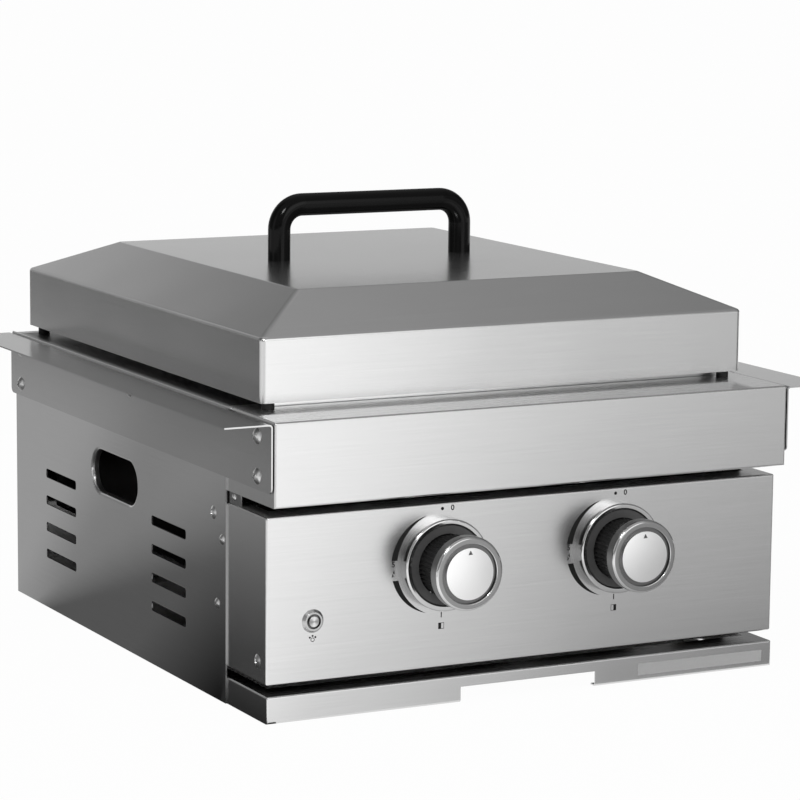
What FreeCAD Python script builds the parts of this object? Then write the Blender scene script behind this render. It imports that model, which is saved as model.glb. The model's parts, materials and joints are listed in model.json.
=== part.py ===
import FreeCAD
import Part
import math
import os

# Built-in two-burner gas grill with a lift-off lid, in millimetres.
# X is to the right, Y to the back and Z up. The origin is on the surface that the grill stands on,
# under the middle of its bounding box. A depth is a distance behind the apron's front face.

# Body
BODY_WIDTH = 457.0
BODY_DEPTH = 550.0
BODY_HEIGHT = 235.0
SHEET = 1.2
BEND = 1.7
HOLE_CLEARANCE = 0.1
RUNNING_CLEARANCE = 0.05

# Front apron with its ledge
APRON_HEIGHT = 65.6
LEDGE_DEPTH = 88.0
APRON_LIP = 15.0

# Control panel and front sill
PANEL_SETBACK = 15.0
PANEL_GAP_ABOVE = 9.5
PANEL_GAP_BELOW = 8.2
PANEL_FRONT_FLANGE = 25.0
PANEL_SIDE_FLANGE = 14.0
SILL_SETBACK = 13.0
SILL_HEIGHT = 21.4
SILL_FRONT_FLANGE = 25.0
SILL_SIDE_FLANGE = 12.0
SILL_LIP = 7.0
NOTCH_WIDTH = 122.0
NOTCH_HEIGHT = 12.3
SIDE_OVERLAP = 29.0

# Straps between the apron and the control panel
STRAP_FRONT = 64.0
STRAP_WIDTH = 24.0
STRAP_LAP = 14.0
STRAP_PLAY = 0.3

# Side panels
SIDE_SHEET = 1.2
SIDE_FRONT = 86.5
REAR_OVERHANG = 9.0
FOOT_FLANGE = 20.0
FOOT_GAP = 2.0
VENT_LENGTH = 70.0
VENT_HEIGHT = 8.0
VENT_PITCH = 23.8
VENT_ROWS = 4
VENT_TOP = 115.0
VENT_FRONT_DEPTH = 198.7
VENT_REAR_DEPTH = 434.0
VENT_CORNER = 2.5
HAND_HOLE_LENGTH = 97.6
HAND_HOLE_HEIGHT = 36.0
HAND_HOLE_DROP = 93.0
HAND_HOLE_DEPTH = 313.0
HAND_HOLE_COLLAR = 5.0
HAND_HOLE_ROLL = 2.6

# Hanger brackets
BRACKET_SHEET = 1.2
BRACKET_REACH = 40.9
BRACKET_DROP = 53.5
BRACKET_BEND = 3.0
BRACKET_CORNER = 5.0
BRACKET_FRONT = 1.0

# Screws; a drop is measured down from the body's top or from the control panel's top
TRUSS_HEAD_RADIUS = 6.4
TRUSS_HEAD_HEIGHT = 3.0
TRUSS_SHANK = 2.4
TRUSS_LENGTH = 10.0
SMALL_HEAD_RADIUS = 4.2
SMALL_HEAD_HEIGHT = 2.0
SMALL_SHANK = 1.9
SMALL_LENGTH = 8.0
WIDE_HEAD_RADIUS = 5.3
WIDE_HEAD_HEIGHT = 1.7
SOCKET_SHARE = 0.52
STRAP_HEAD_RADIUS = 3.3
STRAP_HEAD_HEIGHT = 1.8
STRAP_SCREW_LENGTH = 5.0
STRAP_SCREW_RISE = 1.0
RECESS_REACH = 0.45
RECESS_WIDTH = 0.22
BRACKET_SCREW_FRONT = 26.4
BRACKET_SCREW_REAR = 24.0
BRACKET_SCREW_UPPER_DROP = 13.6
BRACKET_SCREW_LOWER_DROP = 44.4
SIDE_SCREW_TOP_INSET = 23.2
SIDE_SCREW_TOP_DROP = 11.9
SIDE_SCREW_MIDDLE_INSET = 6.6
SIDE_SCREW_MIDDLE_DROP = 30.5
SIDE_SCREW_LOW_INSET = 15.9
SIDE_SCREW_LOW_DROP = 82.9
PANEL_SCREW_INSET = 15.0
PANEL_SCREW_RISE = 16.8

# Firebox
FIREBOX_SIDE_RIM = 32.0
FIREBOX_FRONT = 95.0
FIREBOX_REAR_RIM = 24.0
FIREBOX_TONGUE = 10.0
FIREBOX_PLAY = 2.0
HOPPER_BELOW_BURNER = 34.5
HOPPER_FALL = 18.0
HOPPER_RUN = 100.0
DRAIN_RADIUS = 22.0

# Lid
LID_SIDE_INSET = 12.4
LID_FRONT = 51.2
LID_REAR_INSET = 5.5
LID_LIFT = 6.0
LID_SKIRT = 50.4
LID_RISE = 27.6
LID_SIDE_RUN = 60.0
LID_END_RUN = 63.5
LID_HEM = 17.0
LID_BEND = 3.2
LID_CORNER = 4.0
LID_FOOT_RADIUS = 5.0
LID_FOOT_INSET = 10.5
LID_FOOT_NECK = 2.5
LID_FOOT_HEAD_RADIUS = 3.8
LID_FOOT_HEAD_HEIGHT = 2.5

# Lid handle
HANDLE_RADIUS = 9.5
HANDLE_SPAN = 171.5
HANDLE_HEIGHT = 55.8
HANDLE_BEND = 20.5
HANDLE_BOLT_RADIUS = 3.0
HANDLE_BOLT_GRIP = 22.0
BOLT_WASHER_RADIUS = 7.0
BOLT_WASHER_HEIGHT = 1.6
BOLT_HEAD_RADIUS = 5.0
BOLT_HEAD_HEIGHT = 5.0

# Knobs and bezels
KNOB_SPACING = 156.0
KNOB_DROP = 47.4
KNOB_STANDOUT = 47.5
CAP_RADIUS = 29.0
CAP_DEPTH = 10.3
CAP_CROWN = 1.2
CAP_FRONT_ROUND = 2.4
CAP_EDGE_ROUND = 0.8
DISC_RADIUS = 20.3
DISC_RECESS = 2.2
GROOVE_WIDTH = 3.2
GRIP_RADIUS = 24.6
GRIP_RIBS = 42
GRIP_RIB_DEPTH = 1.2
GRIP_REST_GAP = 1.0
BEZEL_RADIUS = 36.4
BEZEL_HEIGHT = 10.8
BEZEL_RIM = 4.9
BEZEL_BASE = 1.5
BEZEL_ROUND = 1.6
BEZEL_HOLE_PLAY = 4.0
LIGHT_RING_HEIGHT = 8.2
LIGHT_RING_PLAY = 0.4
STEM_RADIUS = 4.0
STEM_FLAT = 1.4
STEM_GRIP_BACK = 4.0
PUSH_TRAVEL = 3.5

# Gas valves and jets
VALVE_RADIUS = 12.0
VALVE_LENGTH = 49.0
VALVE_EAR_REACH = 22.0
VALVE_EAR_HALF_HEIGHT = 9.0
VALVE_EAR_THICKNESS = 4.0
VALVE_EAR_CORNER = 6.0
VALVE_LEG_RADIUS = 8.0
PLUG_RADIUS = 7.5
PLUG_FRONT = 8.0
PLUG_LEAD = 4.0
PLUG_LENGTH = 18.0
PLUG_END_PLAY = 0.3
STEM_REAR_PLAY = 2.0
JET_RADIUS = 4.0
JET_LENGTH = 11.0
JET_COLLAR_RADIUS = 5.5
JET_COLLAR_LENGTH = 4.0
JET_HOLE_RADIUS = 0.8

# Gas manifold
MANIFOLD_RADIUS = 11.0
MANIFOLD_WALL = 2.0
MANIFOLD_CAP = 3.0
MANIFOLD_DROP = 30.0
MANIFOLD_BEHIND_PANEL = 40.0
MANIFOLD_BRACKET = 2.0
MANIFOLD_BRACKET_REACH = 8.0
CRADLE_LENGTH = 12.0
CRADLE_HALF_WIDTH = 9.0
CRADLE_WALL = 4.0
GAS_PORT_RADIUS = 4.0
INLET_INSET = 68.5
INLET_DROP = 22.0
INLET_NECK_RADIUS = 7.0
INLET_HEX = 19.0
INLET_HEX_HEIGHT = 8.0
INLET_THREAD_RADIUS = 7.94
INLET_THREAD_LENGTH = 14.0

# Burners and igniters
BURNER_RADIUS = 12.7
BURNER_WALL = 1.2
BURNER_TAIL_GAP = 14.0
BURNER_TAIL_CAP = 2.0
BURNER_HOLE_PLAY = 0.3
BURNER_TAB_WIDTH = 18.0
BURNER_TAB_REACH = 10.0
BURNER_TAB_ROOT = 3.0
BURNER_TAB_RISE = 1.0
BURNER_TAB_THICKNESS = 2.0
PORT_COUNT = 20
PORT_WIDTH = 1.6
PORT_LENGTH = 6.0
PORT_OFFSET = 7.0
PORT_FRONT_GAP = 20.0
PORT_TAIL_GAP = 12.0
SHUTTER_START = 3.0
SHUTTER_LENGTH = 16.0
SHUTTER_WALL = 1.0
SHUTTER_BRIDGE = 3.0
SHUTTER_WINDOW = 10.0
REST_WIDTH = 22.0
REST_DEPTH = 13.0
REST_DROP = 18.0
REST_SHEET = 2.0
IGNITER_RADIUS = 3.5
IGNITER_BESIDE_BURNER = 24.0
IGNITER_ABOVE_BURNER = 5.0
IGNITER_OUTSIDE = 10.0
IGNITER_INSIDE = 26.0
IGNITER_COLLAR_RADIUS = 6.0
IGNITER_COLLAR_LENGTH = 4.0
ELECTRODE_RADIUS = 1.0
ELECTRODE_LENGTH = 14.0
ELECTRODE_BEND = (-8.0, 2.0, 3.0)

# Heat plates and grates
HEAT_PLATE_HALF_WIDTH = 70.0
HEAT_PLATE_RISE = 30.0
HEAT_PLATE_ABOVE_BURNER = 42.0
HEAT_PLATE_FOOT = 8.0
HEAT_SLOTS = 6
HEAT_SLOT_LENGTH = 36.0
HEAT_SLOT_WIDTH = 6.0
LEDGE_WIDTH = 14.0
LEDGE_DROP = 12.0
GRATE_ROD_RADIUS = 3.5
GRATE_BAR_RADIUS = 3.0
GRATE_RODS = 14
GRATE_TOP_DROP = 8.0
GRATE_GAP = 1.5
GRATE_WELD = 0.4

# Push button for the knob lights
BUTTON_INSET = 39.4
BUTTON_DROP = 83.0
BUTTON_FLANGE_RADIUS = 9.2
BUTTON_CREST_RADIUS = 7.2
BUTTON_WELL_RADIUS = 5.7
BUTTON_WELL_DEPTH = 1.6
BUTTON_FLANGE = 2.4
BUTTON_BARREL_RADIUS = 6.4
BUTTON_RADIUS = 4.2
BUTTON_BODY = 18.0
BUTTON_BACK = 3.0
BUTTON_PROUD = 0.5
BUTTON_TRAVEL = 2.0
BUTTON_ROUND = 0.8
BUTTON_NUT_RADIUS = 10.4
BUTTON_NUT_HEIGHT = 4.0

# Grease cup
CUP_HALF_WIDTH = 64.0
CUP_LENGTH = 150.0
CUP_FLOOR = 15.0
CUP_FLANGE = 8.0
CUP_CORNER = 4.0
CUP_PLAY = 0.3
RAIL_HEIGHT = 8.6
RAIL_PLAY = 1.0
RAIL_FOOT = 14.0
RAIL_END = 4.0

# Places that follow from the sizes
HALF_WIDTH = BODY_WIDTH / 2
FRONT = -(BODY_DEPTH + PANEL_SETBACK - KNOB_STANDOUT) / 2
RIM_TOP = BODY_HEIGHT - SHEET
RIM_BOTTOM = RIM_TOP - SHEET
APRON_BOTTOM = BODY_HEIGHT - APRON_HEIGHT
PANEL_TOP = APRON_BOTTOM - PANEL_GAP_ABOVE
PANEL_BOTTOM = SILL_HEIGHT + PANEL_GAP_BELOW
PANEL_FACE = FRONT + PANEL_SETBACK
STRAP_REAR = STRAP_FRONT + STRAP_WIDTH
STRAP_SCREW = ((STRAP_FRONT + STRAP_REAR) / 2, (APRON_BOTTOM + PANEL_TOP) / 2 + STRAP_SCREW_RISE)
PANEL_SCREW = (PANEL_SETBACK + PANEL_SCREW_INSET, PANEL_BOTTOM + PANEL_SCREW_RISE)
KNOB_X = KNOB_SPACING / 2
KNOB_Z = PANEL_TOP - KNOB_DROP
CAP_FRONT = PANEL_FACE - KNOB_STANDOUT + CAP_CROWN
CAP_REAR = CAP_FRONT + CAP_DEPTH
GRIP_REAR = PANEL_FACE - BEZEL_BASE - PUSH_TRAVEL - GRIP_REST_GAP
STEM_END = CAP_REAR + STEM_GRIP_BACK
SIDE_OUTER = HALF_WIDTH + SIDE_SHEET
SIDE_REAR = BODY_DEPTH - REAR_OVERHANG
BOX_HALF_WIDTH = HALF_WIDTH - FIREBOX_SIDE_RIM
BOX_REAR = BODY_DEPTH - FIREBOX_REAR_RIM
HOPPER_TOP = KNOB_Z - HOPPER_BELOW_BURNER
PAN_TOP = HOPPER_TOP - HOPPER_FALL
LID_HALF_WIDTH = HALF_WIDTH - LID_SIDE_INSET
LID_REAR = BODY_DEPTH - LID_REAR_INSET
LID_BOTTOM = BODY_HEIGHT + LID_LIFT
LID_SHOULDER = LID_BOTTOM + LID_SKIRT
LID_TOP = LID_SHOULDER + LID_RISE
LID_MIDDLE = (LID_FRONT + LID_REAR) / 2
VALVE_FRONT = PANEL_FACE + SHEET
VALVE_REAR = VALVE_FRONT + VALVE_LENGTH
PLUG_REAR = VALVE_FRONT + PLUG_FRONT + PLUG_LENGTH
BURNER_MOUTH = VALVE_REAR + JET_LENGTH / 2
BURNER_TAIL = FRONT + BOX_REAR - BURNER_TAIL_GAP
TAB_BOTTOM = KNOB_Z - BURNER_RADIUS + BURNER_TAB_RISE
MANIFOLD_Y = PANEL_FACE + MANIFOLD_BEHIND_PANEL
MANIFOLD_Z = KNOB_Z - MANIFOLD_DROP
GRATE_TOP = BODY_HEIGHT - GRATE_TOP_DROP
GRATE_LEDGE_TOP = GRATE_TOP - 2 * GRATE_ROD_RADIUS - 2 * GRATE_BAR_RADIUS
HEAT_LEDGE_TOP = KNOB_Z + HEAT_PLATE_ABOVE_BURNER
BUTTON_X = -(HALF_WIDTH - BUTTON_INSET)
INLET_X = HALF_WIDTH - INLET_INSET
BUTTON_Z = PANEL_TOP - BUTTON_DROP
DRAIN_DEPTH = (FIREBOX_FRONT + BOX_REAR) / 2
SIDES = {"left": -1, "right": 1}


# Shared shapes

def vector(x, y, z):
    return FreeCAD.Vector(x, y, z)


def at(depth):
    """Y of a place at this depth behind the apron's face."""
    return FRONT + depth


def box(x0, x1, y0, y1, z0, z1):
    return Part.makeBox(x1 - x0, y1 - y0, z1 - z0, vector(x0, y0, z0))


def rod(radius, start, end):
    """Round bar between two points."""
    along = vector(*end) - vector(*start)
    return Part.makeCylinder(radius, along.Length, vector(*start), along)


def join(shapes):
    """One solid from pieces that are welded or cast together."""
    return shapes[0].multiFuse(shapes[1:]).removeSplitter() if len(shapes) > 1 else shapes[0]


def group(shapes):
    """Separate solids that share a name, such as identical screws."""
    return Part.makeCompound(shapes)


def mirrored(shape):
    return shape.mirror(vector(0, 0, 0), vector(1, 0, 0))


def on_side(right_shape, side):
    """A piece drawn for the right side, on the side asked for."""
    return right_shape if side == "right" else mirrored(right_shape)


def outline(points, radii, place):
    """Closed face with straight edges and tangent arcs; place turns (u, v) into a point in space."""
    count = len(points)
    starts = []
    ends = []
    arcs = []
    for i in range(count):
        before = FreeCAD.Vector(*points[i - 1], 0)
        here = FreeCAD.Vector(*points[i], 0)
        after = FreeCAD.Vector(*points[(i + 1) % count], 0)
        come = (here - before).normalize()
        leave = (after - here).normalize()
        turn = come.getAngle(leave)
        cut_back = radii[i] * math.tan(turn / 2)
        start = here - come * cut_back
        end = here + leave * cut_back
        starts.append(place(start.x, start.y))
        ends.append(place(end.x, end.y))
        if radii[i] > 0:
            inward = (leave - come).normalize()
            middle = here + inward * (radii[i] / math.cos(turn / 2) - radii[i])
            arcs.append(Part.Arc(starts[i], place(middle.x, middle.y), ends[i]).toShape())
        else:
            arcs.append(None)
    edges = []
    for i in range(count):
        if arcs[i]:
            edges.append(arcs[i])
        following = starts[(i + 1) % count]
        if ends[i].distanceToPoint(following) > 1e-6:
            edges.append(Part.makeLine(ends[i], following))
    return Part.Face(Part.Wire(edges))


def prism_along_y(points, radii, y0, y1):
    """Profile of (x, z) points drawn out from y0 to y1."""
    face = outline(points, radii, lambda u, v: vector(u, y0, v))
    return face.extrude(vector(0, y1 - y0, 0))


def prism_along_x(points, radii, x0, x1):
    """Profile of (y, z) points drawn out from x0 to x1."""
    face = outline(points, radii, lambda u, v: vector(x0, u, v))
    return face.extrude(vector(x1 - x0, 0, 0))


def turned(points, radii, x, z):
    """Profile of (radius, y) points turned about the line along Y through (x, z)."""
    face = outline(points, radii, lambda u, v: vector(x + u, v, z))
    return face.revolve(vector(x, 0, z), vector(0, 1, 0), 360)


def inset(points, distance):
    """Corners of an anticlockwise polygon, each edge moved inward by the distance."""
    count = len(points)
    moved = []
    for i in range(count):
        before = FreeCAD.Vector(*points[i - 1], 0)
        here = FreeCAD.Vector(*points[i], 0)
        after = FreeCAD.Vector(*points[(i + 1) % count], 0)
        come = (here - before).normalize()
        leave = (after - here).normalize()
        first = FreeCAD.Vector(-come.y, come.x, 0)
        second = FreeCAD.Vector(-leave.y, leave.x, 0)
        corner = here + (first + second) * (distance / (1 + first.dot(second)))
        moved.append((corner.x, corner.y))
    return moved


def hipped(across, along, radii):
    """Body that shows one profile from the front and another from the side, mitred where they meet."""
    lowest = min(point[0] for point in along) - 1
    highest = max(point[0] for point in along) + 1
    widest = max(point[0] for point in across) + 1
    seen_from_front = prism_along_y(across, radii, lowest, highest)
    seen_from_side = prism_along_x(along, radii, -widest, widest)
    return seen_from_front.common(seen_from_side)


def rounded_box(bounds, radius, corners):
    """Box with some edges rounded; each corner names the two faces that meet there."""
    solid = box(*bounds)
    faces = {"left": ("x", bounds[0]), "right": ("x", bounds[1]), "front": ("y", bounds[2]),
             "back": ("y", bounds[3]), "bottom": ("z", bounds[4]), "top": ("z", bounds[5])}
    chosen = []
    for edge in solid.Edges:
        middle = edge.CenterOfMass
        for corner in corners:
            if all(abs(getattr(middle, axis) - value) < 1e-6 for axis, value in (faces[f] for f in corner)):
                chosen.append(edge)
    return solid.makeFillet(radius, chosen)


def folded_tray(bounds, corners):
    """Closed sheet-metal box with rounded folds, still to be opened."""
    x0, x1, y0, y1, z0, z1 = bounds
    inside = (x0 + SHEET, x1 - SHEET, y0 + SHEET, y1 - SHEET, z0 + SHEET, z1 - SHEET)
    return rounded_box(bounds, BEND, corners).cut(rounded_box(inside, BEND - SHEET, corners))


def slot_along_x(x0, x1, y0, y1, z0, z1, radius):
    """Cutter for a slot with rounded ends."""
    points = [(y0, z0), (y1, z0), (y1, z1), (y0, z1)]
    return prism_along_x(points, [radius] * 4, x0, x1)


# Screws

def screw_along_x(head_radius, head_height, shank_radius, length, place):
    """Round-headed screw for the right side: the head outside the place, the shank inward from it."""
    x, y, z = place
    dome = head_radius ** 2 / (2 * head_height) + head_height / 2
    ball = Part.makeSphere(dome, vector(x + head_height - dome, y, z))
    head = ball.common(rod(head_radius, (x, y, z), (x + head_height, y, z)))
    shank = rod(shank_radius, (x - length, y, z), (x, y, z))
    return head.fuse(shank).removeSplitter()


def cross_recess(head_radius, head_height, place, turn):
    """Cutter for a driver's cross, turned by an angle in degrees."""
    x, y, z = place
    reach = RECESS_REACH * head_radius
    half = RECESS_WIDTH * head_radius / 2
    low, high = x + head_height / 2, x + head_height + 1
    level = box(low, high, y - reach, y + reach, z - half, z + half)
    upright = box(low, high, y - half, y + half, z - reach, z + reach)
    recess = level.fuse(upright).removeSplitter()
    recess.rotate(vector(x, y, z), vector(1, 0, 0), turn)
    return recess


def screw_pairs(places, x, head_radius, head_height, shank_radius, length):
    """The same screw at each place on both sides, with the recesses left at different angles."""
    screws = []
    for number, (depth, z) in enumerate(places):
        place = (x, at(depth), z)
        recess = cross_recess(head_radius, head_height, place, 35 * number + 15)
        screw = screw_along_x(head_radius, head_height, shank_radius, length, place).cut(recess)
        screws += [screw, mirrored(screw)]
    return group(screws)


def socket_screw_pair(depth, z, x):
    """Wide flat screw with a round socket, on both sides."""
    place = (x, at(depth), z)
    screw = screw_along_x(WIDE_HEAD_RADIUS, WIDE_HEAD_HEIGHT, SMALL_SHANK, SMALL_LENGTH, place)
    socket = rod(SOCKET_SHARE * WIDE_HEAD_RADIUS, (x + WIDE_HEAD_HEIGHT / 3, place[1], z),
                 (x + WIDE_HEAD_HEIGHT + 1, place[1], z))
    screw = screw.cut(socket)
    return [screw, mirrored(screw)]


def bracket_screw_places():
    """Depth and height of each hanger bracket screw."""
    front, rear = BRACKET_SCREW_FRONT, BODY_DEPTH - BRACKET_SCREW_REAR
    upper = BODY_HEIGHT - BRACKET_SCREW_UPPER_DROP
    lower = BODY_HEIGHT - BRACKET_SCREW_LOWER_DROP
    return [(front, upper), (front, lower), ((front + rear) / 2, upper), (rear, upper), (rear, lower)]


def side_screw_places():
    """Depth and height of the screws that hold the control panel to a side panel."""
    return [(SIDE_FRONT + SIDE_SCREW_TOP_INSET, PANEL_TOP - SIDE_SCREW_TOP_DROP),
            (SIDE_FRONT + SIDE_SCREW_MIDDLE_INSET, PANEL_TOP - SIDE_SCREW_MIDDLE_DROP),
            (SIDE_FRONT + SIDE_SCREW_LOW_INSET, PANEL_TOP - SIDE_SCREW_LOW_DROP)]


def drill_side(shape, places, radius, x0, x1):
    """Cuts screw holes along X on both sides of a piece."""
    holes = []
    for depth, z in places:
        for side in SIDES:
            holes.append(on_side(rod(radius, (x0, at(depth), z), (x1, at(depth), z)), side))
    return shape.cut(group(holes))


def bracket_screws():
    return screw_pairs(bracket_screw_places(), SIDE_OUTER + BRACKET_SHEET,
                       TRUSS_HEAD_RADIUS, TRUSS_HEAD_HEIGHT, TRUSS_SHANK, TRUSS_LENGTH)


def side_panel_screws():
    return screw_pairs(side_screw_places()[1:], SIDE_OUTER,
                       SMALL_HEAD_RADIUS, SMALL_HEAD_HEIGHT, SMALL_SHANK, SMALL_LENGTH)


def control_panel_screws():
    """Socket screws: one low in each side of the panel, and one at the top of each side panel."""
    depth, z = side_screw_places()[0]
    return group(socket_screw_pair(*PANEL_SCREW, HALF_WIDTH) + socket_screw_pair(depth, z, SIDE_OUTER))


# Folded body panels

def front_apron():
    bounds = (-HALF_WIDTH, HALF_WIDTH, FRONT, at(LEDGE_DEPTH), APRON_BOTTOM, BODY_HEIGHT)
    folds = [("front", "top"), ("left", "front"), ("right", "front"), ("left", "top"), ("right", "top"),
             ("front", "bottom")]
    tray = folded_tray(bounds, folds)
    inner = HALF_WIDTH - SHEET
    back = box(-inner, inner, at(LEDGE_DEPTH) - 2 * SHEET, at(LEDGE_DEPTH) + 1,
               APRON_BOTTOM - 1, BODY_HEIGHT - SHEET)
    bottom = box(-inner, inner, at(APRON_LIP), at(LEDGE_DEPTH), APRON_BOTTOM - 1, APRON_BOTTOM + SHEET)
    apron = tray.cut(group([back, bottom]))
    places = [place for place in bracket_screw_places() if place[0] < LEDGE_DEPTH]
    return drill_side(apron, places, TRUSS_SHANK + HOLE_CLEARANCE, inner - 1, HALF_WIDTH + 1)


def apron_straps():
    """Flat straps inside the side walls that tie the apron to the control panel."""
    outer = HALF_WIDTH - SHEET
    strap = box(outer - SHEET, outer, at(STRAP_FRONT), at(STRAP_REAR),
                PANEL_TOP - STRAP_LAP, APRON_BOTTOM + STRAP_LAP)
    depth, z = STRAP_SCREW
    hole = rod(SMALL_SHANK + HOLE_CLEARANCE, (outer - SHEET - 1, at(depth), z), (outer + 1, at(depth), z))
    strap = strap.cut(hole)
    return group([strap, mirrored(strap)])


def strap_screws():
    return screw_pairs([STRAP_SCREW], HALF_WIDTH - SHEET,
                       STRAP_HEAD_RADIUS, STRAP_HEAD_HEIGHT, SMALL_SHANK, STRAP_SCREW_LENGTH)


def control_panel():
    rear = SIDE_FRONT + SIDE_OVERLAP
    bounds = (-HALF_WIDTH, HALF_WIDTH, PANEL_FACE, at(rear), PANEL_BOTTOM, PANEL_TOP)
    folds = [(side, face) for side in SIDES for face in ("front", "top", "bottom")]
    folds += [("front", "top"), ("front", "bottom")]
    tray = folded_tray(bounds, folds)
    inner = HALF_WIDTH - SHEET
    mouth = HALF_WIDTH - PANEL_SIDE_FLANGE
    cuts = [box(-inner, inner, at(rear) - 2 * SHEET, at(rear) + 1, PANEL_BOTTOM + SHEET, PANEL_TOP - SHEET),
            box(-mouth, mouth, PANEL_FACE + PANEL_FRONT_FLANGE, at(rear) + 1,
                PANEL_BOTTOM - 1, PANEL_TOP + 1)]
    strap_slot = box(inner - SHEET - STRAP_PLAY, inner, at(STRAP_FRONT) - STRAP_PLAY,
                     at(STRAP_REAR) + STRAP_PLAY, PANEL_TOP - 2 * SHEET, PANEL_TOP + 1)
    cuts += [strap_slot, mirrored(strap_slot)]
    round_holes = [(KNOB_X, KNOB_Z, PLUG_RADIUS), (-KNOB_X, KNOB_Z, PLUG_RADIUS),
                   (BUTTON_X, BUTTON_Z, BUTTON_BARREL_RADIUS + HOLE_CLEARANCE)]
    for x, z, radius in round_holes:
        cuts.append(rod(radius, (x, PANEL_FACE - 1, z), (x, PANEL_FACE + 2 * SHEET, z)))
    panel = tray.cut(group(cuts))
    radius = SMALL_SHANK + HOLE_CLEARANCE
    return drill_side(panel, side_screw_places() + [PANEL_SCREW], radius, inner - 1, HALF_WIDTH + 1)


def front_sill():
    face = at(SILL_SETBACK)
    rear = at(SIDE_FRONT + SIDE_OVERLAP)
    bounds = (-HALF_WIDTH, HALF_WIDTH, face, rear, 0, SILL_HEIGHT)
    folds = [("left", "front"), ("right", "front"), ("front", "top"), ("front", "bottom"),
             ("left", "top"), ("right", "top")]
    tray = folded_tray(bounds, folds)
    inner = HALF_WIDTH - SHEET
    mouth = HALF_WIDTH - SILL_SIDE_FLANGE
    back = box(-inner, inner, rear - 2 * SHEET, rear + 1, -1, SILL_HEIGHT - SHEET)
    top = box(-mouth, mouth, face + SILL_FRONT_FLANGE, rear + 1, SILL_HEIGHT - 2 * SHEET, SILL_HEIGHT + 1)
    bottom = box(-inner, inner, face + SILL_LIP, rear, -1, SHEET)
    notch = box(-NOTCH_WIDTH / 2, NOTCH_WIDTH / 2, face - 1, face + SILL_LIP + 1, -1, NOTCH_HEIGHT)
    return tray.cut(group([back, top, bottom, notch]))


def hand_hole(reach, x0, x1):
    """Long round-ended prism at the hand hole, larger than it by the reach all round."""
    half_length = HAND_HOLE_LENGTH / 2 + reach
    half_height = HAND_HOLE_HEIGHT / 2 + reach
    middle = BODY_HEIGHT - HAND_HOLE_DROP
    return slot_along_x(x0, x1, at(HAND_HOLE_DEPTH) - half_length, at(HAND_HOLE_DEPTH) + half_length,
                        middle - half_height, middle + half_height, half_height)


def rolled_hand_hole(panel):
    """Rounds the outer edge of the right panel's hand hole, where the sheet is drawn inward."""
    mouth = hand_hole(0.1, SIDE_OUTER - 0.1, SIDE_OUTER + 0.1).BoundBox
    edges = [edge for edge in panel.Edges if mouth.isInside(edge.BoundBox)]
    return panel.makeFillet(HAND_HOLE_ROLL, edges)


def side_panel(side):
    """Flat sheet with a foot flange, vent slots and a hand hole whose edge is rolled inward."""
    foot_front = at(SIDE_FRONT + SIDE_OVERLAP + FOOT_GAP)
    foot_rear = at(SIDE_REAR - FOOT_FLANGE - FOOT_GAP)
    sheet = box(HALF_WIDTH, SIDE_OUTER, at(SIDE_FRONT), at(SIDE_REAR), 0, RIM_BOTTOM)
    foot = box(SIDE_OUTER - FOOT_FLANGE, SIDE_OUTER, foot_front, foot_rear, 0, SIDE_SHEET)
    collar = hand_hole(SIDE_SHEET, HALF_WIDTH - HAND_HOLE_COLLAR, HALF_WIDTH + SIDE_SHEET / 2)
    panel = join([sheet, foot, collar])
    panel = rolled_hand_hole(panel.cut(hand_hole(0, HALF_WIDTH - HAND_HOLE_COLLAR - 1, SIDE_OUTER + 1)))
    vents = []
    for depth in (VENT_FRONT_DEPTH, VENT_REAR_DEPTH):
        for row in range(VENT_ROWS):
            middle = BODY_HEIGHT - VENT_TOP - row * VENT_PITCH
            vents.append(slot_along_x(HALF_WIDTH - 1, SIDE_OUTER + 1, at(depth) - VENT_LENGTH / 2,
                                      at(depth) + VENT_LENGTH / 2, middle - VENT_HEIGHT / 2,
                                      middle + VENT_HEIGHT / 2, VENT_CORNER))
    panel = panel.cut(group(vents))
    behind = [place for place in bracket_screw_places() if place[0] > SIDE_FRONT]
    panel = drill_side(panel, behind, TRUSS_SHANK + HOLE_CLEARANCE, HALF_WIDTH - 1, SIDE_OUTER + 1)
    panel = drill_side(panel, side_screw_places(), SMALL_SHANK + HOLE_CLEARANCE,
                       HALF_WIDTH - 1, SIDE_OUTER + 1)
    return on_side(panel, side)


def rear_panel():
    bounds = (-HALF_WIDTH, HALF_WIDTH, at(SIDE_REAR - FOOT_FLANGE), at(SIDE_REAR), 0, RIM_BOTTOM)
    tray = folded_tray(bounds, [("left", "back"), ("right", "back"), ("back", "bottom")])
    inner = HALF_WIDTH - SHEET
    front = box(-inner, inner, bounds[2] - 1, bounds[2] + 2 * SHEET, -1, RIM_BOTTOM + 1)
    top = box(-inner, inner, bounds[2] - 1, at(SIDE_REAR) - SHEET, RIM_BOTTOM - 2 * SHEET, RIM_BOTTOM + 1)
    vents = []
    for column in (-1, 1):
        for row in range(VENT_ROWS):
            middle = BODY_HEIGHT - VENT_TOP - row * VENT_PITCH
            x = column * HALF_WIDTH / 2
            vents.append(box(x - VENT_LENGTH / 2, x + VENT_LENGTH / 2, at(SIDE_REAR) - 3, at(SIDE_REAR) + 1,
                             middle - VENT_HEIGHT / 2, middle + VENT_HEIGHT / 2))
    panel = tray.cut(group([front, top] + vents))
    rear = [place for place in bracket_screw_places() if place[0] > SIDE_REAR - FOOT_FLANGE]
    return drill_side(panel, rear, TRUSS_SHANK + HOLE_CLEARANCE, inner - 1, HALF_WIDTH + 1)


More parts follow.
